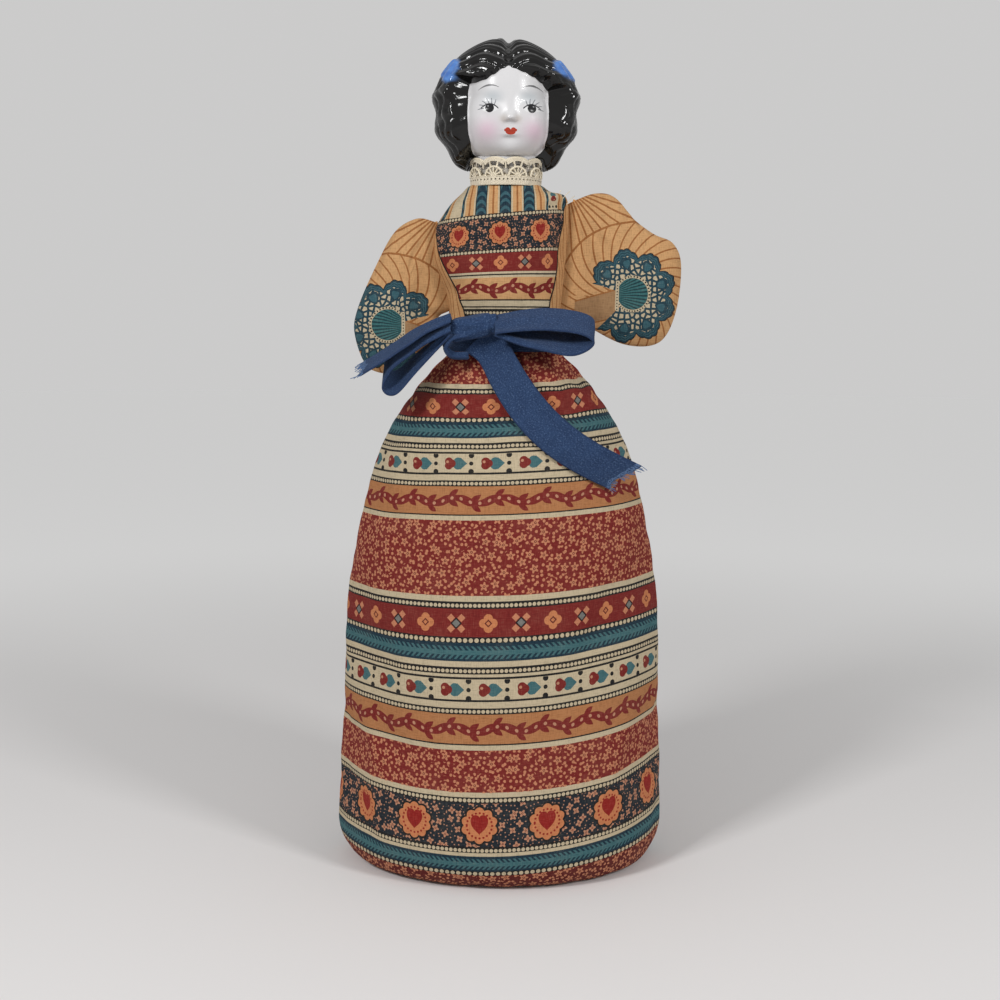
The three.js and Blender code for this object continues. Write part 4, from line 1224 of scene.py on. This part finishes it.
head_bm = stack(HEAD_ROWS, HEAD_COLUMNS, head_point)
shares = [head_bm.verts.layers.float.new(name) for name in ("hair", "ribbon")]
row_of = head_bm.verts.layers.int["row"]
column_of = head_bm.verts.layers.int["column"]
for vert in head_bm.verts:
    for layer, share in zip(shares, head_surface(vert[row_of], vert[column_of])[1:]):
        vert[layer] = share
print("head:", len(head_bm.verts), "points")

# %% [markdown]
# The face's paint is laid on with the same small masks as the cotton's print: eyes with a lid and lashes,
# thin brows, a pale blue shadow above the eyes, soft pink cheeks and a small red mouth. A clear glaze covers
# all of it, which is what gives the small sharp lights on the hair.

# %% Head paint
CHINA_WHITE = ink(212, 211, 212)
CHEEK_PINK = ink(216, 184, 200)
LID_BLUE = ink(170, 182, 188)
NOSE_SHADE = ink(196, 184, 172)
EYE_WHITE = ink(222, 222, 222)
LASH_GREY = ink(78, 84, 90)
LID_GREY = ink(52, 52, 56)
PUPIL_BLACK = ink(24, 24, 26)
GLINT_GREY = ink(150, 150, 152)
BROW_GREY = ink(84, 84, 86)
LIP_RED = ink(172, 58, 38)
HAIR_BLACK = ink(9, 9, 9)
HAIR_BROWN = ink(20, 17, 15)
RIBBON_BLUE = ink(40, 86, 164)
RIBBON_PALE = ink(104, 152, 216)
PAINT_MIDDLE = 1.5


def soft_spot(x, z, size_x, size_z):
    """A round patch that fades away from its middle."""
    return (x * x / (-size_x * size_x) + z * z / (-size_z * size_z)).math("EXPONENT")


def china_paint():
    finish = new_finish("painted_china")
    place = finish.place()
    x, _, height = finish.axes(place)
    face_x = x * 1000 - PAINT_MIDDLE
    z = height * 1000 - HEAD_CENTRE
    side = abs(face_x)
    eye_x, eye_z = side - 7.0, z + 4.7
    white = eye_x * eye_x / 7.6 + eye_z * eye_z / 2.0 < 1
    lash_z = eye_z + 0.6
    lash_angle = lash_z.math("ARCTAN2", eye_x)
    lash_reach = distance(eye_x, lash_z)
    hairs = abs(repeat(lash_angle + lash_reach * 0.1, 0.42)) * lash_reach < 0.26 - lash_reach * 0.035
    lash = both(both(hairs, between(lash_reach, 2.0, 3.9)), between(lash_angle, -0.05, 2.5))
    lid = abs(eye_x * eye_x * 0.17 + eye_z - 1.3)
    brow_x = side - 7.4
    brow = abs(brow_x * brow_x * 0.09 + brow_x * 0.1 + z - 2.7) < 0.34 - abs(brow_x) * 0.08
    upper = disc(side - 0.95, z + 11.8, 0.88)
    lower = face_x * face_x / 2.6 + (z + 12.4) * (z + 12.4) / 0.7 < 1
    corner = both(abs(z + 12.0 - side * 0.12) < 0.38, side < 2.1)
    hair = finish.node("ShaderNodeAttribute", {"attribute_name": "hair"}, output="Fac")
    ribbon_share = finish.node("ShaderNodeAttribute", {"attribute_name": "ribbon"}, output="Fac")
    covered = hair > 0.1
    colour = finish.paint(
        CHINA_WHITE,
        (CHEEK_PINK, soft_spot(side - 7.8, z + 11.8, 3.8, 3.4) * 0.75),
        (LID_BLUE, soft_spot(side - 6.0, z + 1.0, 3.2, 2.0) * 0.5),
        (NOSE_SHADE, soft_spot(side - 2.4, z + 8.2, 1.3, 1.3) * 0.5),
        (EYE_WHITE, white),
        (LASH_GREY, lash * 0.8),
        (LID_GREY, both(lid < 0.26, abs(eye_x) < 2.9)),
        (PUPIL_BLACK, disc(eye_x, eye_z + 0.05, 1.45)),
        (GLINT_GREY, disc(eye_x - 0.5, eye_z - 0.6, 0.26)),
        (BROW_GREY, both(brow, abs(brow_x) < 3.4) * 0.9),
        (LIP_RED, either(either(upper, lower), corner)),
        (finish.paint(HAIR_BLACK, (HAIR_BROWN, finish.noise(place, 160, 3) * 0.4)), covered),
        (finish.paint(RIBBON_BLUE, (RIBBON_PALE, finish.noise(place, 420, 2) * 1.3 - 0.15)), ribbon_share),
    )
    finish.set({"Base Color": colour, "Roughness": 0.3 - covered * 0.2, "Coat Weight": covered * 0.1 + 0.1})
    finish.set({"Coat Roughness": 0.03, "Specular IOR Level": 0.3})
    uneven = finish.noise(place, 260, 3) * hair * 0.55 + finish.noise(place, 120, 1) * 0.12
    finish.bump(uneven, 0.0012, 0.5)
    return finish


china = china_paint()
head = finish_piece(head_bm, "head", china)
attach(head, "head")
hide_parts("china_head")

# %% [markdown]
# The neck goes down inside the lace to a flange that the bodice is tied over. It is a plain turned shape, so
# a few rings are enough, and it widens again where it meets the chin.

# %% Neck
NECK_COLUMNS = 64
NECK_ROWS = [
    (0.3, 226.5), (10, 226.5), (10.6, 227), (10.6, 228.4), (10, 228.9), (8.8, 229), (8.8, 241.8),
    (10.4, 242.3), (10.9, 243), (10.9, 246), (0.3, 246),
]


def neck_point(row, column):
    radius, height = NECK_ROWS[row]
    return on_ring(column / NECK_COLUMNS * TURN, radius, radius, height)


neck = finish_piece(stack(len(NECK_ROWS), NECK_COLUMNS, neck_point), "neck", china)
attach(neck, "head")

# %% [markdown]
# ## The lace collar
# A strip of ecru lace stands round the neck: a closer band below, then a row of open fans under arches, which
# make its scalloped edge. It is a band of rings with a gentle wave, given thickness, and the openings between
# the threads are cut by the material's alpha, since each is only about a millimetre wide.

# %% Lace strip
LACE_MOTIFS = 9
LACE_COLUMNS = LACE_MOTIFS * 24
LACE_ROWS = 25
LACE_BOTTOM = 235.0
LACE_HEIGHT = 9
LACE_SCALLOP = 1.2
LACE_THICKNESS = 0.7
LACE_MIDDLE_RADIUS = 11.85
LACE_REPEAT = TURN * LACE_MIDDLE_RADIUS / LACE_MOTIFS
FAN_FOOT = 2.9
FAN_SPOKES = 5


def lace_edge(column):
    scallop = abs(math.sin(column / LACE_COLUMNS * LACE_MOTIFS * math.pi)) ** 0.7
    return LACE_HEIGHT - LACE_SCALLOP + LACE_SCALLOP * scallop


def lace_spot(u, v, proud=0):
    """A place on the collar, from the lengths along and up the strip."""
    angle = u / LACE_MIDDLE_RADIUS
    sway = math.sin(angle * 5 + 1) * 0.3 * (v / LACE_HEIGHT) + math.sin(angle * 13) * 0.12
    radius = LACE_MIDDLE_RADIUS + sway + proud
    return on_ring(angle, radius, radius, LACE_BOTTOM + v)


def lace_length(row, column, face_column=0):
    share = row / (LACE_ROWS - 1)
    return (column / LACE_COLUMNS * LACE_MOTIFS * LACE_REPEAT, lace_edge(column % LACE_COLUMNS) * share)


def lace_point(row, column):
    return lace_spot(*lace_length(row, column))


def lace_finish():
    finish = new_finish("ecru_lace")
    u, v = finish.cloth()
    x, t = repeat(u, LACE_REPEAT, LACE_REPEAT / 2), v - FAN_FOOT
    reach = distance(x, t)
    angle = t.math("ARCTAN2", x)
    spokes = abs(repeat(angle, math.pi / (FAN_SPOKES + 1))) * reach
    fan = both(both(spokes > 0.22, between(reach, 0.95, 2.8)), t > -0.3)
    bars = abs(repeat(angle, math.pi / 5)) * reach
    arch = both(both(bars > 0.26, between(reach, 3.45, 4.95)), t > 0.4)
    side = repeat(u, LACE_REPEAT)
    gusset = both(abs(side) * 1.2 + abs(v - 5.2) * 0.5 < 1.5, abs(side) > 0.2)
    pins = disc(repeat(u, 1.38, 0.69), v - 1.9, 0.27)
    open_work = either(either(fan, arch), either(both(gusset, reach > 3.6), pins))
    shade = finish.noise(finish.spot(u, v), 1.4, 3)
    colour = finish.paint(ink(214, 199, 170), (ink(244, 234, 213), shade))
    finish.set({"Base Color": colour, "Alpha": 1 - open_work, "Roughness": 0.9, "Sheen Weight": 0.2})
    ribs = wave(u, 0.68) * (v < 1.5)
    twist = (u * 9 + v * 14).math("SINE") * 0.5 + (u * 13 - v * 8).math("SINE") * 0.5 + ribs
    finish.bump(twist + shade, 0.0002, 0.6)
    return finish


def thicken(piece, thickness):
    modifier = piece.modifiers.new("thickness", "SOLIDIFY")
    modifier.thickness = thickness * MM
    modifier.offset = 0


lace_bm = stack(LACE_ROWS, LACE_COLUMNS, lace_point, (False, False))
write_lengths(lace_bm, LACE_COLUMNS, lace_length)
lace = finish_piece(lace_bm, "lace_collar_strip", lace_finish())
thicken(lace, LACE_THICKNESS)
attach(lace, "body")
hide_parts("lace_collar")

# %% [markdown]
# The cord along the edge, round each fan and along its spokes is thicker than the rest of the lace and casts
# small shadows. It is real thread: a thin ring is extruded along each line and turned to follow it.

# %% Lace cord
THREAD_SIDES = 6
EDGE_CORD = 0.42
SPOKE_CORD = 0.2
FAN_RINGS = [(0.85, 0.24), (3.1, 0.34)]
SPOKE_REACHES = (0.8, 2, 3.1)
CORD_PROUD = 0.3
ARCH_STEPS = 16


def tube(bm, points, radius):
    """Adds a thread along a line of points."""
    corner_of = bm.verts.layers.int.get("corner") or bm.verts.layers.int.new("corner")
    ring = bmesh.ops.create_circle(bm, segments=THREAD_SIDES, radius=radius)["verts"]
    shape = [vert.co.copy() for vert in ring]
    for corner, vert in enumerate(ring):
        vert[corner_of] = corner
    edges = list(dict.fromkeys(edge for vert in ring for edge in vert.link_edges))
    for index, point in enumerate(points):
        ahead = points[min(index + 1, len(points) - 1)] - points[max(index - 1, 0)]
        turn = ahead.to_track_quat("Z", "Y")
        if index:
            ring, edges = grow_ring(bm, edges)
        for vert in ring:
            vert.co = point + turn @ shape[vert[corner_of]]
    bmesh.ops.recalc_face_normals(bm, faces=bm.faces)


def grained(name, dark, pale, scale, roughness, relief):
    finish = new_finish(name)
    grain = finish.noise(finish.place(), scale, 4)
    finish.set({"Base Color": finish.paint(dark, (pale, grain)), "Roughness": roughness})
    finish.bump(grain, relief, 0.5)
    return finish


def fan_spot(middle, turn, reach):
    """A place on the cord of a fan, at an angle and a distance from the fan's foot."""
    return lace_spot(middle + math.cos(turn) * reach, FAN_FOOT + math.sin(turn) * reach, CORD_PROUD)


cord_bm = bmesh.new()
tube(cord_bm, [lace_point(LACE_ROWS - 1, column) for column in range(0, LACE_COLUMNS + 1, 2)], EDGE_CORD)
for motif in range(LACE_MOTIFS):
    middle = (motif + 0.5) * LACE_REPEAT
    for radius, thread in FAN_RINGS:
        turns = [step / ARCH_STEPS * math.pi for step in range(ARCH_STEPS + 1)]
        tube(cord_bm, [fan_spot(middle, turn, radius) for turn in turns], thread)
    for spoke in range(1, FAN_SPOKES + 1):
        turn = spoke / (FAN_SPOKES + 1) * math.pi
        tube(cord_bm, [fan_spot(middle, turn, reach) for reach in SPOKE_REACHES], SPOKE_CORD)
cord_cotton = grained("lace_cord_cotton", ink(210, 196, 168), ink(238, 229, 208), 2200, 0.9, 0.0002)
lace_cord = finish_piece(cord_bm, "lace_cord", cord_cotton)
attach(lace_cord, "body")

# %% [markdown]
# ## The tape bow
# One length of blue twill tape goes round the waist and is tied in a bow. Each free part is a grid bent along
# a smooth curve through a few points and given the tape's thickness. Near the knot the tape is narrower and
# pleated, because the knot gathers it. The ends were cut and have frayed into loose threads.

# %% Tape finish
TAPE_WIDTH = 12.7
TAPE_THICKNESS = 0.7
TWILL_PITCH = 0.62
CROSS_PITCH = 0.4
SELVEDGE = 0.55


def tape_finish(name, cut_length=0):
    """Blue twill; from cut_length on, the weave is worn and paler."""
    finish = new_finish(name)
    u, v = finish.cloth()
    where = finish.spot(u, v)
    patchy = finish.noise(where, 0.25, 4)
    fibre = finish.noise(where, 2.0, 3)
    twill = wave(u + v, TWILL_PITCH)
    cross = wave(u - v * 0.4, CROSS_PITCH)
    edge = abs(v - TAPE_WIDTH / 2) > TAPE_WIDTH / 2 - SELVEDGE
    colour = finish.paint(
        ink(34, 52, 84),
        (ink(56, 80, 118), patchy * 0.75 + twill * 0.1),
        (ink(98, 122, 158), (fibre - 0.54) * 3.2),
        (ink(22, 34, 60), (0.46 - fibre) * 3),
        (ink(34, 50, 82), edge * 0.6),
    )
    if cut_length:
        colour = finish.paint(colour, (ink(96, 122, 160), (u > cut_length) * (fibre > 0.46) * 0.7))
    finish.set({"Base Color": colour, "Roughness": 0.9, "Sheen Weight": 0.05, "Specular IOR Level": 0.15})
    finish.bump(twill * 0.6 + cross * 0.4 + fibre * 0.8, 0.00016, 0.6)
    return finish


plain_tape = tape_finish("blue_twill_tape")
print("tape ready")

# %% [markdown]
# The sash is the same tape drawn tight round the waist, so it creases along its length. It is a short stack
# of oval rings, whose first and last are rolled in.

# %% Sash
SASH_COLUMNS = 128
SASH_STEPS = 12
SASH_EDGES = (179.2, 188.8)
SASH_HALF_WIDTH = 19.5
SASH_HALF_DEPTH = 14.7
SASH_LENGTH = 107
SASH_THICKNESS = 0.5


def sash_point(row, column):
    height = mix(*SASH_EDGES, row / SASH_STEPS)
    angle = column / SASH_COLUMNS * TURN
    crease = math.sin(height * 2.1 + 1.6 * math.sin(angle * 3) + angle) * 0.3
    roll = 0.5 * (row in (0, SASH_STEPS))
    grow = 0.75 + crease * (1 - roll) - roll
    return on_ring(angle, SASH_HALF_WIDTH + grow, SASH_HALF_DEPTH + grow, height)


def sash_length(row, column, face_column):
    return (column / SASH_COLUMNS * SASH_LENGTH, TAPE_WIDTH * row / SASH_STEPS)


sash_bm = stack(SASH_STEPS + 1, SASH_COLUMNS, sash_point, (False, False))
write_lengths(sash_bm, SASH_COLUMNS, sash_length)
sash = finish_piece(sash_bm, "sash", plain_tape)
thicken(sash, SASH_THICKNESS)
soften(sash)
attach(sash, "body")
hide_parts("sash_band")

# %% [markdown]
# The knot is the tape wrapped once round the loops. It is a short stack of rounded rings along the bow, with
# creases that run along it, a tight fold where the right loop leaves, and a bulge at its lower left.

# %% Knot
KNOT_MIDDLE = Vector((-10.5, -18.8, 187.5))
KNOT_SIZE = Vector((8.6, 3.3, 3.8))
KNOT_ROWS = 48
KNOT_COLUMNS = 72
KNOT_WRAP = 22
KNOT_POWER = 3.2
KNOT_SLOPE = 1.3


def knot_point(row, column):
    along = -1 + 2 * row / (KNOT_ROWS - 1)
    angle = column / KNOT_COLUMNS * TURN
    swell = max(1 - abs(along) ** 7, 0.0004) ** 0.45
    c, s = math.cos(angle), math.sin(angle)
    block = (abs(c) ** KNOT_POWER + abs(s) ** KNOT_POWER) ** (-1 / KNOT_POWER)
    fold = math.sin(angle * 4 + along * 2.4 + 0.6) * 0.28 + math.sin(angle * 9 - along * 3) * 0.1
    crease = -0.55 * bell((along - 0.72) / 0.07)
    bulge = 0.9 * bell((along + 0.72) / 0.24) * max(0, -s) * smooth(0.2, -0.4, s)
    reach = block * swell
    grow = (fold + crease + bulge) * min(swell, 1)
    y = -c * (KNOT_SIZE.y * reach + grow)
    z = s * (KNOT_SIZE.z * reach + grow) + KNOT_SLOPE * along
    return KNOT_MIDDLE + Vector((along * KNOT_SIZE.x, y, z))


def knot_length(row, column, face_column):
    return (column / KNOT_COLUMNS * KNOT_WRAP, TAPE_WIDTH * row / (KNOT_ROWS - 1))


knot_bm = stack(KNOT_ROWS, KNOT_COLUMNS, knot_point)
write_lengths(knot_bm, KNOT_COLUMNS, knot_length)
knot = finish_piece(knot_bm, "knot", plain_tape)
soften(knot)
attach(knot, "body")
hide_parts("bow_knot")

# %% [markdown]
# A loop leaves the knot, turns round and comes back. Its width leans forwards and down, which is why the
# inside of each loop shows.

# %% Loops
LOOP_MIDDLE_Y = -21.67
KNOT_INSIDE = 7.2
TAPE_STEP = 0.9
TAPE_FEWEST_STEPS = 24
TAPE_WIDTH_STEPS = 14
LINE_STEPS = 60
RIGHT_LOOP = [(0, 0.9), (12.5, 2.6), (26, 2.2), (33, -1.5), (26, -5.2), (12, -3.8), (0, -0.9)]
LEFT_LOOP = [(0, 0.9), (10, -3.8), (18.5, -9.8), (22.5, -16.5), (18, -18.5), (9.5, -10), (0, -0.9)]
LOOPS = [("left", -1, LEFT_LOOP, (0.6, 0.5)), ("right", 1, RIGHT_LOOP, (0.85, 0.5))]


def leaning(degrees):
    """The direction across a tape that leans forwards and down."""
    lean = math.radians(degrees)
    return Vector((0, -math.cos(lean), -math.sin(lean)))


def tape_line(outline, side, rise=0):
    start = KNOT_MIDDLE.x + side * KNOT_INSIDE
    return [Vector((start + side * out, LOOP_MIDDLE_Y, KNOT_MIDDLE.z + rise + up)) for out, up in outline]


def line_length(points):
    spots = [curve_point(points, step / LINE_STEPS) for step in range(LINE_STEPS + 1)]
    return sum((after - before).length for before, after in zip(spots, spots[1:]))


def bend_tape(points, across, gathers, open_share, extra=None):
    """A tape along points, with the place of any spot on it and its length.

    Gathers are its shares of width at both ends, and extra lengthens each side of its end.
    """
    length = line_length(points)

    def place(along, aside):
        share = along + (extra(aside) / length * along**6 if extra else 0)
        share_in = min(share, 1)
        near, far = smooth(0, open_share, share), smooth(0, open_share, 1 - share)
        narrowed = (1 - gathers[0]) * (1 - near) + (1 - gathers[1]) * (1 - far)
        tangent = curve_point(points, min(share_in + 0.01, 1)) - curve_point(points, max(share_in - 0.01, 0))
        normal = tangent.cross(across).normalized()
        pleat = math.sin(aside * 3 * math.pi + 0.7) * 1.4 * narrowed
        ripple = noise.noise(Vector((share * length / 9, aside * 1.3, across.y * 3))) * 0.6 * near * far
        centre = curve_point(points, share_in) + tangent.normalized() * max(share - 1, 0) * length
        return centre + across * (aside - 0.5) * TAPE_WIDTH * (1 - narrowed) + normal * (pleat + ripple)

    steps = max(int(length / TAPE_STEP), TAPE_FEWEST_STEPS)
    return ribbon(steps, TAPE_WIDTH_STEPS, place, (length, TAPE_WIDTH)), place, length


def tape_piece(bm, name, finish=plain_tape):
    piece = finish_piece(bm, name, finish)
    thicken(piece, TAPE_THICKNESS)
    soften(piece)
    return piece


def hang_tape(piece, node):
    """Bakes a tape's place into its points and hides the solid that it stands for."""
    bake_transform(piece)
    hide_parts(node)


for name, side, outline, gathers in LOOPS:
    loop_bm, _, loop_length = bend_tape(tape_line(outline, side), leaning(37), gathers, 0.3)
    loop = tape_piece(loop_bm, name + "_loop_tape")
    hang_tape(loop, name + "_bow_loop")
    loop_length * MM

# %% [markdown]
# The knot's own end comes out below it and curls round once before it is tucked in. It is bent in the same
# way as a loop, and stays with the knot.

# %% Knot's end
KNOT_CURL = [
    (-12.5, -18.6, 185.6), (-17.6, -20.6, 184.4), (-19.6, -21.2, 181.2), (-17.4, -21, 178.4),
    (-12, -19, 178.2),
]
CURL_ACROSS = Vector((0.12, -0.93, -0.35))
curl_bm, _, _ = bend_tape([Vector(spot) for spot in KNOT_CURL], CURL_ACROSS, (0.55, 0.45), 1.0)
curl = tape_piece(curl_bm, "knot_curl")
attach(curl, "body")

# %% [markdown]
# The short tail runs beside the left loop and ends in a worn cut, which is a little longer in some places
# across the tape than in others.

# %% Short tail
SHORT_TAIL = [(0, 0.9), (10, -3.5), (19.5, -9.8), (29.5, -16)]
SHORT_RISE = 2
SHORT_WORN = 2


def frayed_cut(aside):
    return 1.2 * math.sin(aside * 9) + 0.6 * math.sin(aside * 23)


short_line = tape_line(SHORT_TAIL, -1, SHORT_RISE)
short_bm, short_place, short_length = bend_tape(short_line, leaning(20), (0.5, 1), 0.5, frayed_cut)
short_finish = tape_finish("short_tail_twill", short_length - SHORT_WORN)
short_tail = tape_piece(short_bm, "short_tail_tape", short_finish)
hang_tape(short_tail, "short_bow_tail")

# %% [markdown]
# The long tail lies down the front of the skirt. Its line stands a little off the skirt at the highest of
# three places across its width, so the cloth clears the bell as it would when it drapes. The end was cut at a
# slant and has a nick in it.

# %% Long tail
TAIL_DOWN = Vector((math.sin(math.pi / 4), 0, -math.cos(math.pi / 4)))
TAIL_ACROSS = Vector((math.cos(math.pi / 4), 0, math.sin(math.pi / 4)))
TAIL_TOP = Vector((KNOT_MIDDLE.x / 2, 0, 183.2)) + TAIL_DOWN * (TAPE_WIDTH * 0.225)
TAIL_LENGTH = 60
TAIL_STEPS = 8
TAIL_SAG = 6
TAIL_TUCK = 6
TAIL_OFF_SKIRT = 1.4
TAIL_WORN = 2.2
SASH_FRONT = 15.8


def skirt_front(x, height):
    width = skirt_half_width(height)
    return width * DEPTH_RATIO * math.sqrt(max(0, 1 - (x / width) ** 2))


def tail_line():
    points = [TAIL_TOP - TAIL_DOWN * TAIL_TUCK - TAIL_ACROSS * 2.4 + Vector((0, -17.6, 0))]
    for step in range(TAIL_STEPS + 1):
        share = step / TAIL_STEPS
        sag = TAIL_SAG * math.sin(share * math.pi) + 1.4 * (1 - share)
        place = TAIL_TOP + TAIL_DOWN * (TAIL_LENGTH * share) - TAIL_ACROSS * sag
        spots = [place + TAIL_ACROSS * (edge * TAPE_WIDTH / 2) for edge in (-1, 0, 1)]
        place.y = -max(SASH_FRONT, *[skirt_front(spot.x, spot.z) for spot in spots]) - TAIL_OFF_SKIRT
        points.append(place)
    return points


def slanted_cut(aside):
    nick = 2.6 * (1 - smooth(0.1, 0.2, aside))
    return mix(-2.2, 3.8, aside) + nick + 0.3 * math.sin(aside * 31)


long_bm, long_place, long_length = bend_tape(tail_line(), TAIL_ACROSS, (0.97, 1), 0.4, slanted_cut)
long_finish = tape_finish("long_tail_twill", long_length - TAIL_WORN)
long_tail = tape_piece(long_bm, "long_tail_tape", long_finish)
hang_tape(long_tail, "long_bow_tail")

# %% [markdown]
# Where the tails were cut, threads have worked loose. Each is a thin tube along a short curved line that
# starts on the tape's edge. The random numbers come from a fixed seed, so every run has the same threads.

# %% Frayed threads
FRAY_RADIUS = 0.11
chance = random.Random(11)
fray_finish = new_finish("loose_blue_thread")
fray_finish.set({"Base Color": ink(82, 108, 148), "Roughness": 0.9})


def fray(name, body, place, count):
    bm = bmesh.new()
    for _ in range(count):
        aside = chance.random()
        start = place(0.985, aside)
        end = place(1, aside)
        ahead = (end - start).normalized()
        sway = Vector((chance.uniform(-1, 1), chance.uniform(-0.5, 0.3), chance.uniform(-1, 1)))
        reach = chance.uniform(0.6, 2.6)
        bend = sway * 0.22
        halfway = end + ahead * reach * 0.5 + bend * reach * 0.4
        tube(bm, [start.lerp(end, 0.4), end, halfway, end + (ahead + bend) * reach], FRAY_RADIUS)
    made = finish_piece(bm, name, fray_finish)
    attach(made, body)
    return made


short_fray = fray("short_tail_fray", "short_tail", short_place, 26)
long_fray = fray("long_tail_fray", "long_tail", long_place, 34)
short_flat = (0.0127, short_length * MM)
long_flat = (0.0127, long_length * MM)

# %% [markdown]
# A few pale ends of sewing thread stand up where the right shoulder seam was fastened off. They are tubes
# like the frayed threads, each leaning and curling its own way.

# %% Thread ends at the shoulder
THREAD_ENDS = 6
THREAD_RADIUS = 0.12
THREAD_START = Vector((18.2, -6.2, 230.2))
THREAD_STEP = Vector((0.5, 0.25, -0.25))
thread_bm = bmesh.new()
for end in range(THREAD_ENDS):
    start = THREAD_START + THREAD_STEP * end
    lean = Vector((chance.uniform(-0.5, 0.9), chance.uniform(-0.4, 0.1), 1))
    reach = chance.uniform(2.4, 4.6)
    curl_by = Vector((chance.uniform(-1.4, 1.4), chance.uniform(-0.6, 0.2), 0))
    halfway = start + lean * reach * 0.5 + curl_by * 0.3
    tube(thread_bm, [start, halfway, start + lean * reach * 0.8 + curl_by], THREAD_RADIUS)
thread_ends = finish_piece(thread_bm, "shoulder_thread_ends", cord_cotton)
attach(thread_ends, "body")

# %% [markdown]
# ## Threads, card and pouch
# These solids already have the right shape, so they stay as they are and only take a finish. The card and the
# pouch are closed inside the skirt, and the neck's tie is under the lace.

# %% Finishes for the solids that stay
board = grained("grey_board", ink(150, 128, 98), ink(196, 174, 140), 700, 0.95, 0.0002)
muslin = grained("unbleached_muslin", ink(206, 192, 164), ink(236, 226, 204), 900, 0.95, 0.0003)
ecru_thread = grained("ecru_thread", ink(196, 182, 150), ink(232, 220, 192), 2600, 0.9, 0.0002)
gold_thread = grained("gold_thread", ink(186, 132, 76), ink(222, 170, 108), 2600, 0.9, 0.0002)
for node, finish in (
    ("base_card", board),
    ("scent_pouch", muslin),
    ("pouch_tie", ecru_thread),
    ("neck_tie", ecru_thread),
    ("left_shoulder_thread", gold_thread),
    ("right_shoulder_thread", gold_thread),
):
    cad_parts[node].material_slots[0].material = finish.block
    print(finish.block.name, "on", node)

# %% [markdown]
# ## Floor and light
# The doll stands on a wide pale floor. Near the doll the floor is lit like anything else, so it takes the
# shadows. Further out it slowly turns into a plain tone that only the camera and reflections see. It is also
# the tone of the sky, so there is no horizon from any side.

# %% Floor
FLOOR_RADIUS = 4000
FLOOR_SIDES = 96
FLOOR_LIT = 0.06
FLOOR_PLAIN = 0.8
NEAR_FLOOR = (0.78, 0.765, 0.76, 1)
FAR_FLOOR = (0.28, 0.277, 0.275, 1)
FAR_TONE = (0.4675, 0.467, 0.465, 1)
NO_LIGHT = (0, 0, 0, 1)


def shown_rays(finish):
    """One for rays from the camera, off something shiny or through something clear."""
    rays = finish.node("ShaderNodeLightPath")
    return either(either(rays, rays.part("Is Glossy Ray")), rays.part("Is Transmission Ray"))


def floor_finish():
    finish = new_finish("pale_floor")
    x, y, _ = finish.axes(finish.place())
    sockets = {0: distance(x, y), 1: FLOOR_LIT, 2: FLOOR_PLAIN}
    away = finish.node("ShaderNodeMapRange", {"interpolation_type": "SMOOTHSTEP"}, sockets)
    glow = finish.paint(NO_LIGHT, (FAR_TONE, away * shown_rays(finish)))
    finish.set({"Base Color": finish.paint(NEAR_FLOOR, (FAR_FLOOR, away)), "Roughness": 0.9})
    finish.set({"Emission Color": glow, "Emission Strength": 1, "Specular IOR Level": 0.1})
    return finish


floor_bm = bmesh.new()
bmesh.ops.create_circle(floor_bm, cap_ends=True, segments=FLOOR_SIDES, radius=FLOOR_RADIUS)
floor = finish_piece(floor_bm, "floor", floor_finish())

# %% [markdown]
# Two soft lamps stand in front, the left one stronger, with a dim even sky to fill the shadows. The sky has
# two strengths, one for the light that it gives and one for how it looks.

# %% Lamps and sky
SKY_LIGHT = 0.4
SKY_TONE = 0.6
SKY_COLOUR = (1, 0.994, 0.99, 1)
LAMP_SIZE = 170
LAMP_AIM = Vector((0, 0, 0.15))


def lamp(name, place, power):
    data = bpy.data.lights.new(name, "AREA")
    data.size = LAMP_SIZE * MM
    data.energy = power
    made = bpy.data.objects.new(name, data)
    made.location = [MM * value for value in place]
    made.rotation_euler = (LAMP_AIM - made.location).to_track_quat("-Z", "Y").to_euler()
    made.visible_camera = False
    scene.collection.objects.link(made)


lamp("left_lamp", (-480, -620, 620), 4.2)
lamp("right_lamp", (560, -560, 520), 2.9)
sky = Finish(bpy.data.worlds.new("sky"), "Background")
sky_range = {"Value": shown_rays(sky), "To Min": SKY_LIGHT, "To Max": SKY_TONE}
sky.set({"Color": SKY_COLOUR, "Strength": sky.node("ShaderNodeMapRange", {}, sky_range)})
scene.world = sky.block
scene.view_settings.view_transform = "Standard"
print("lit")
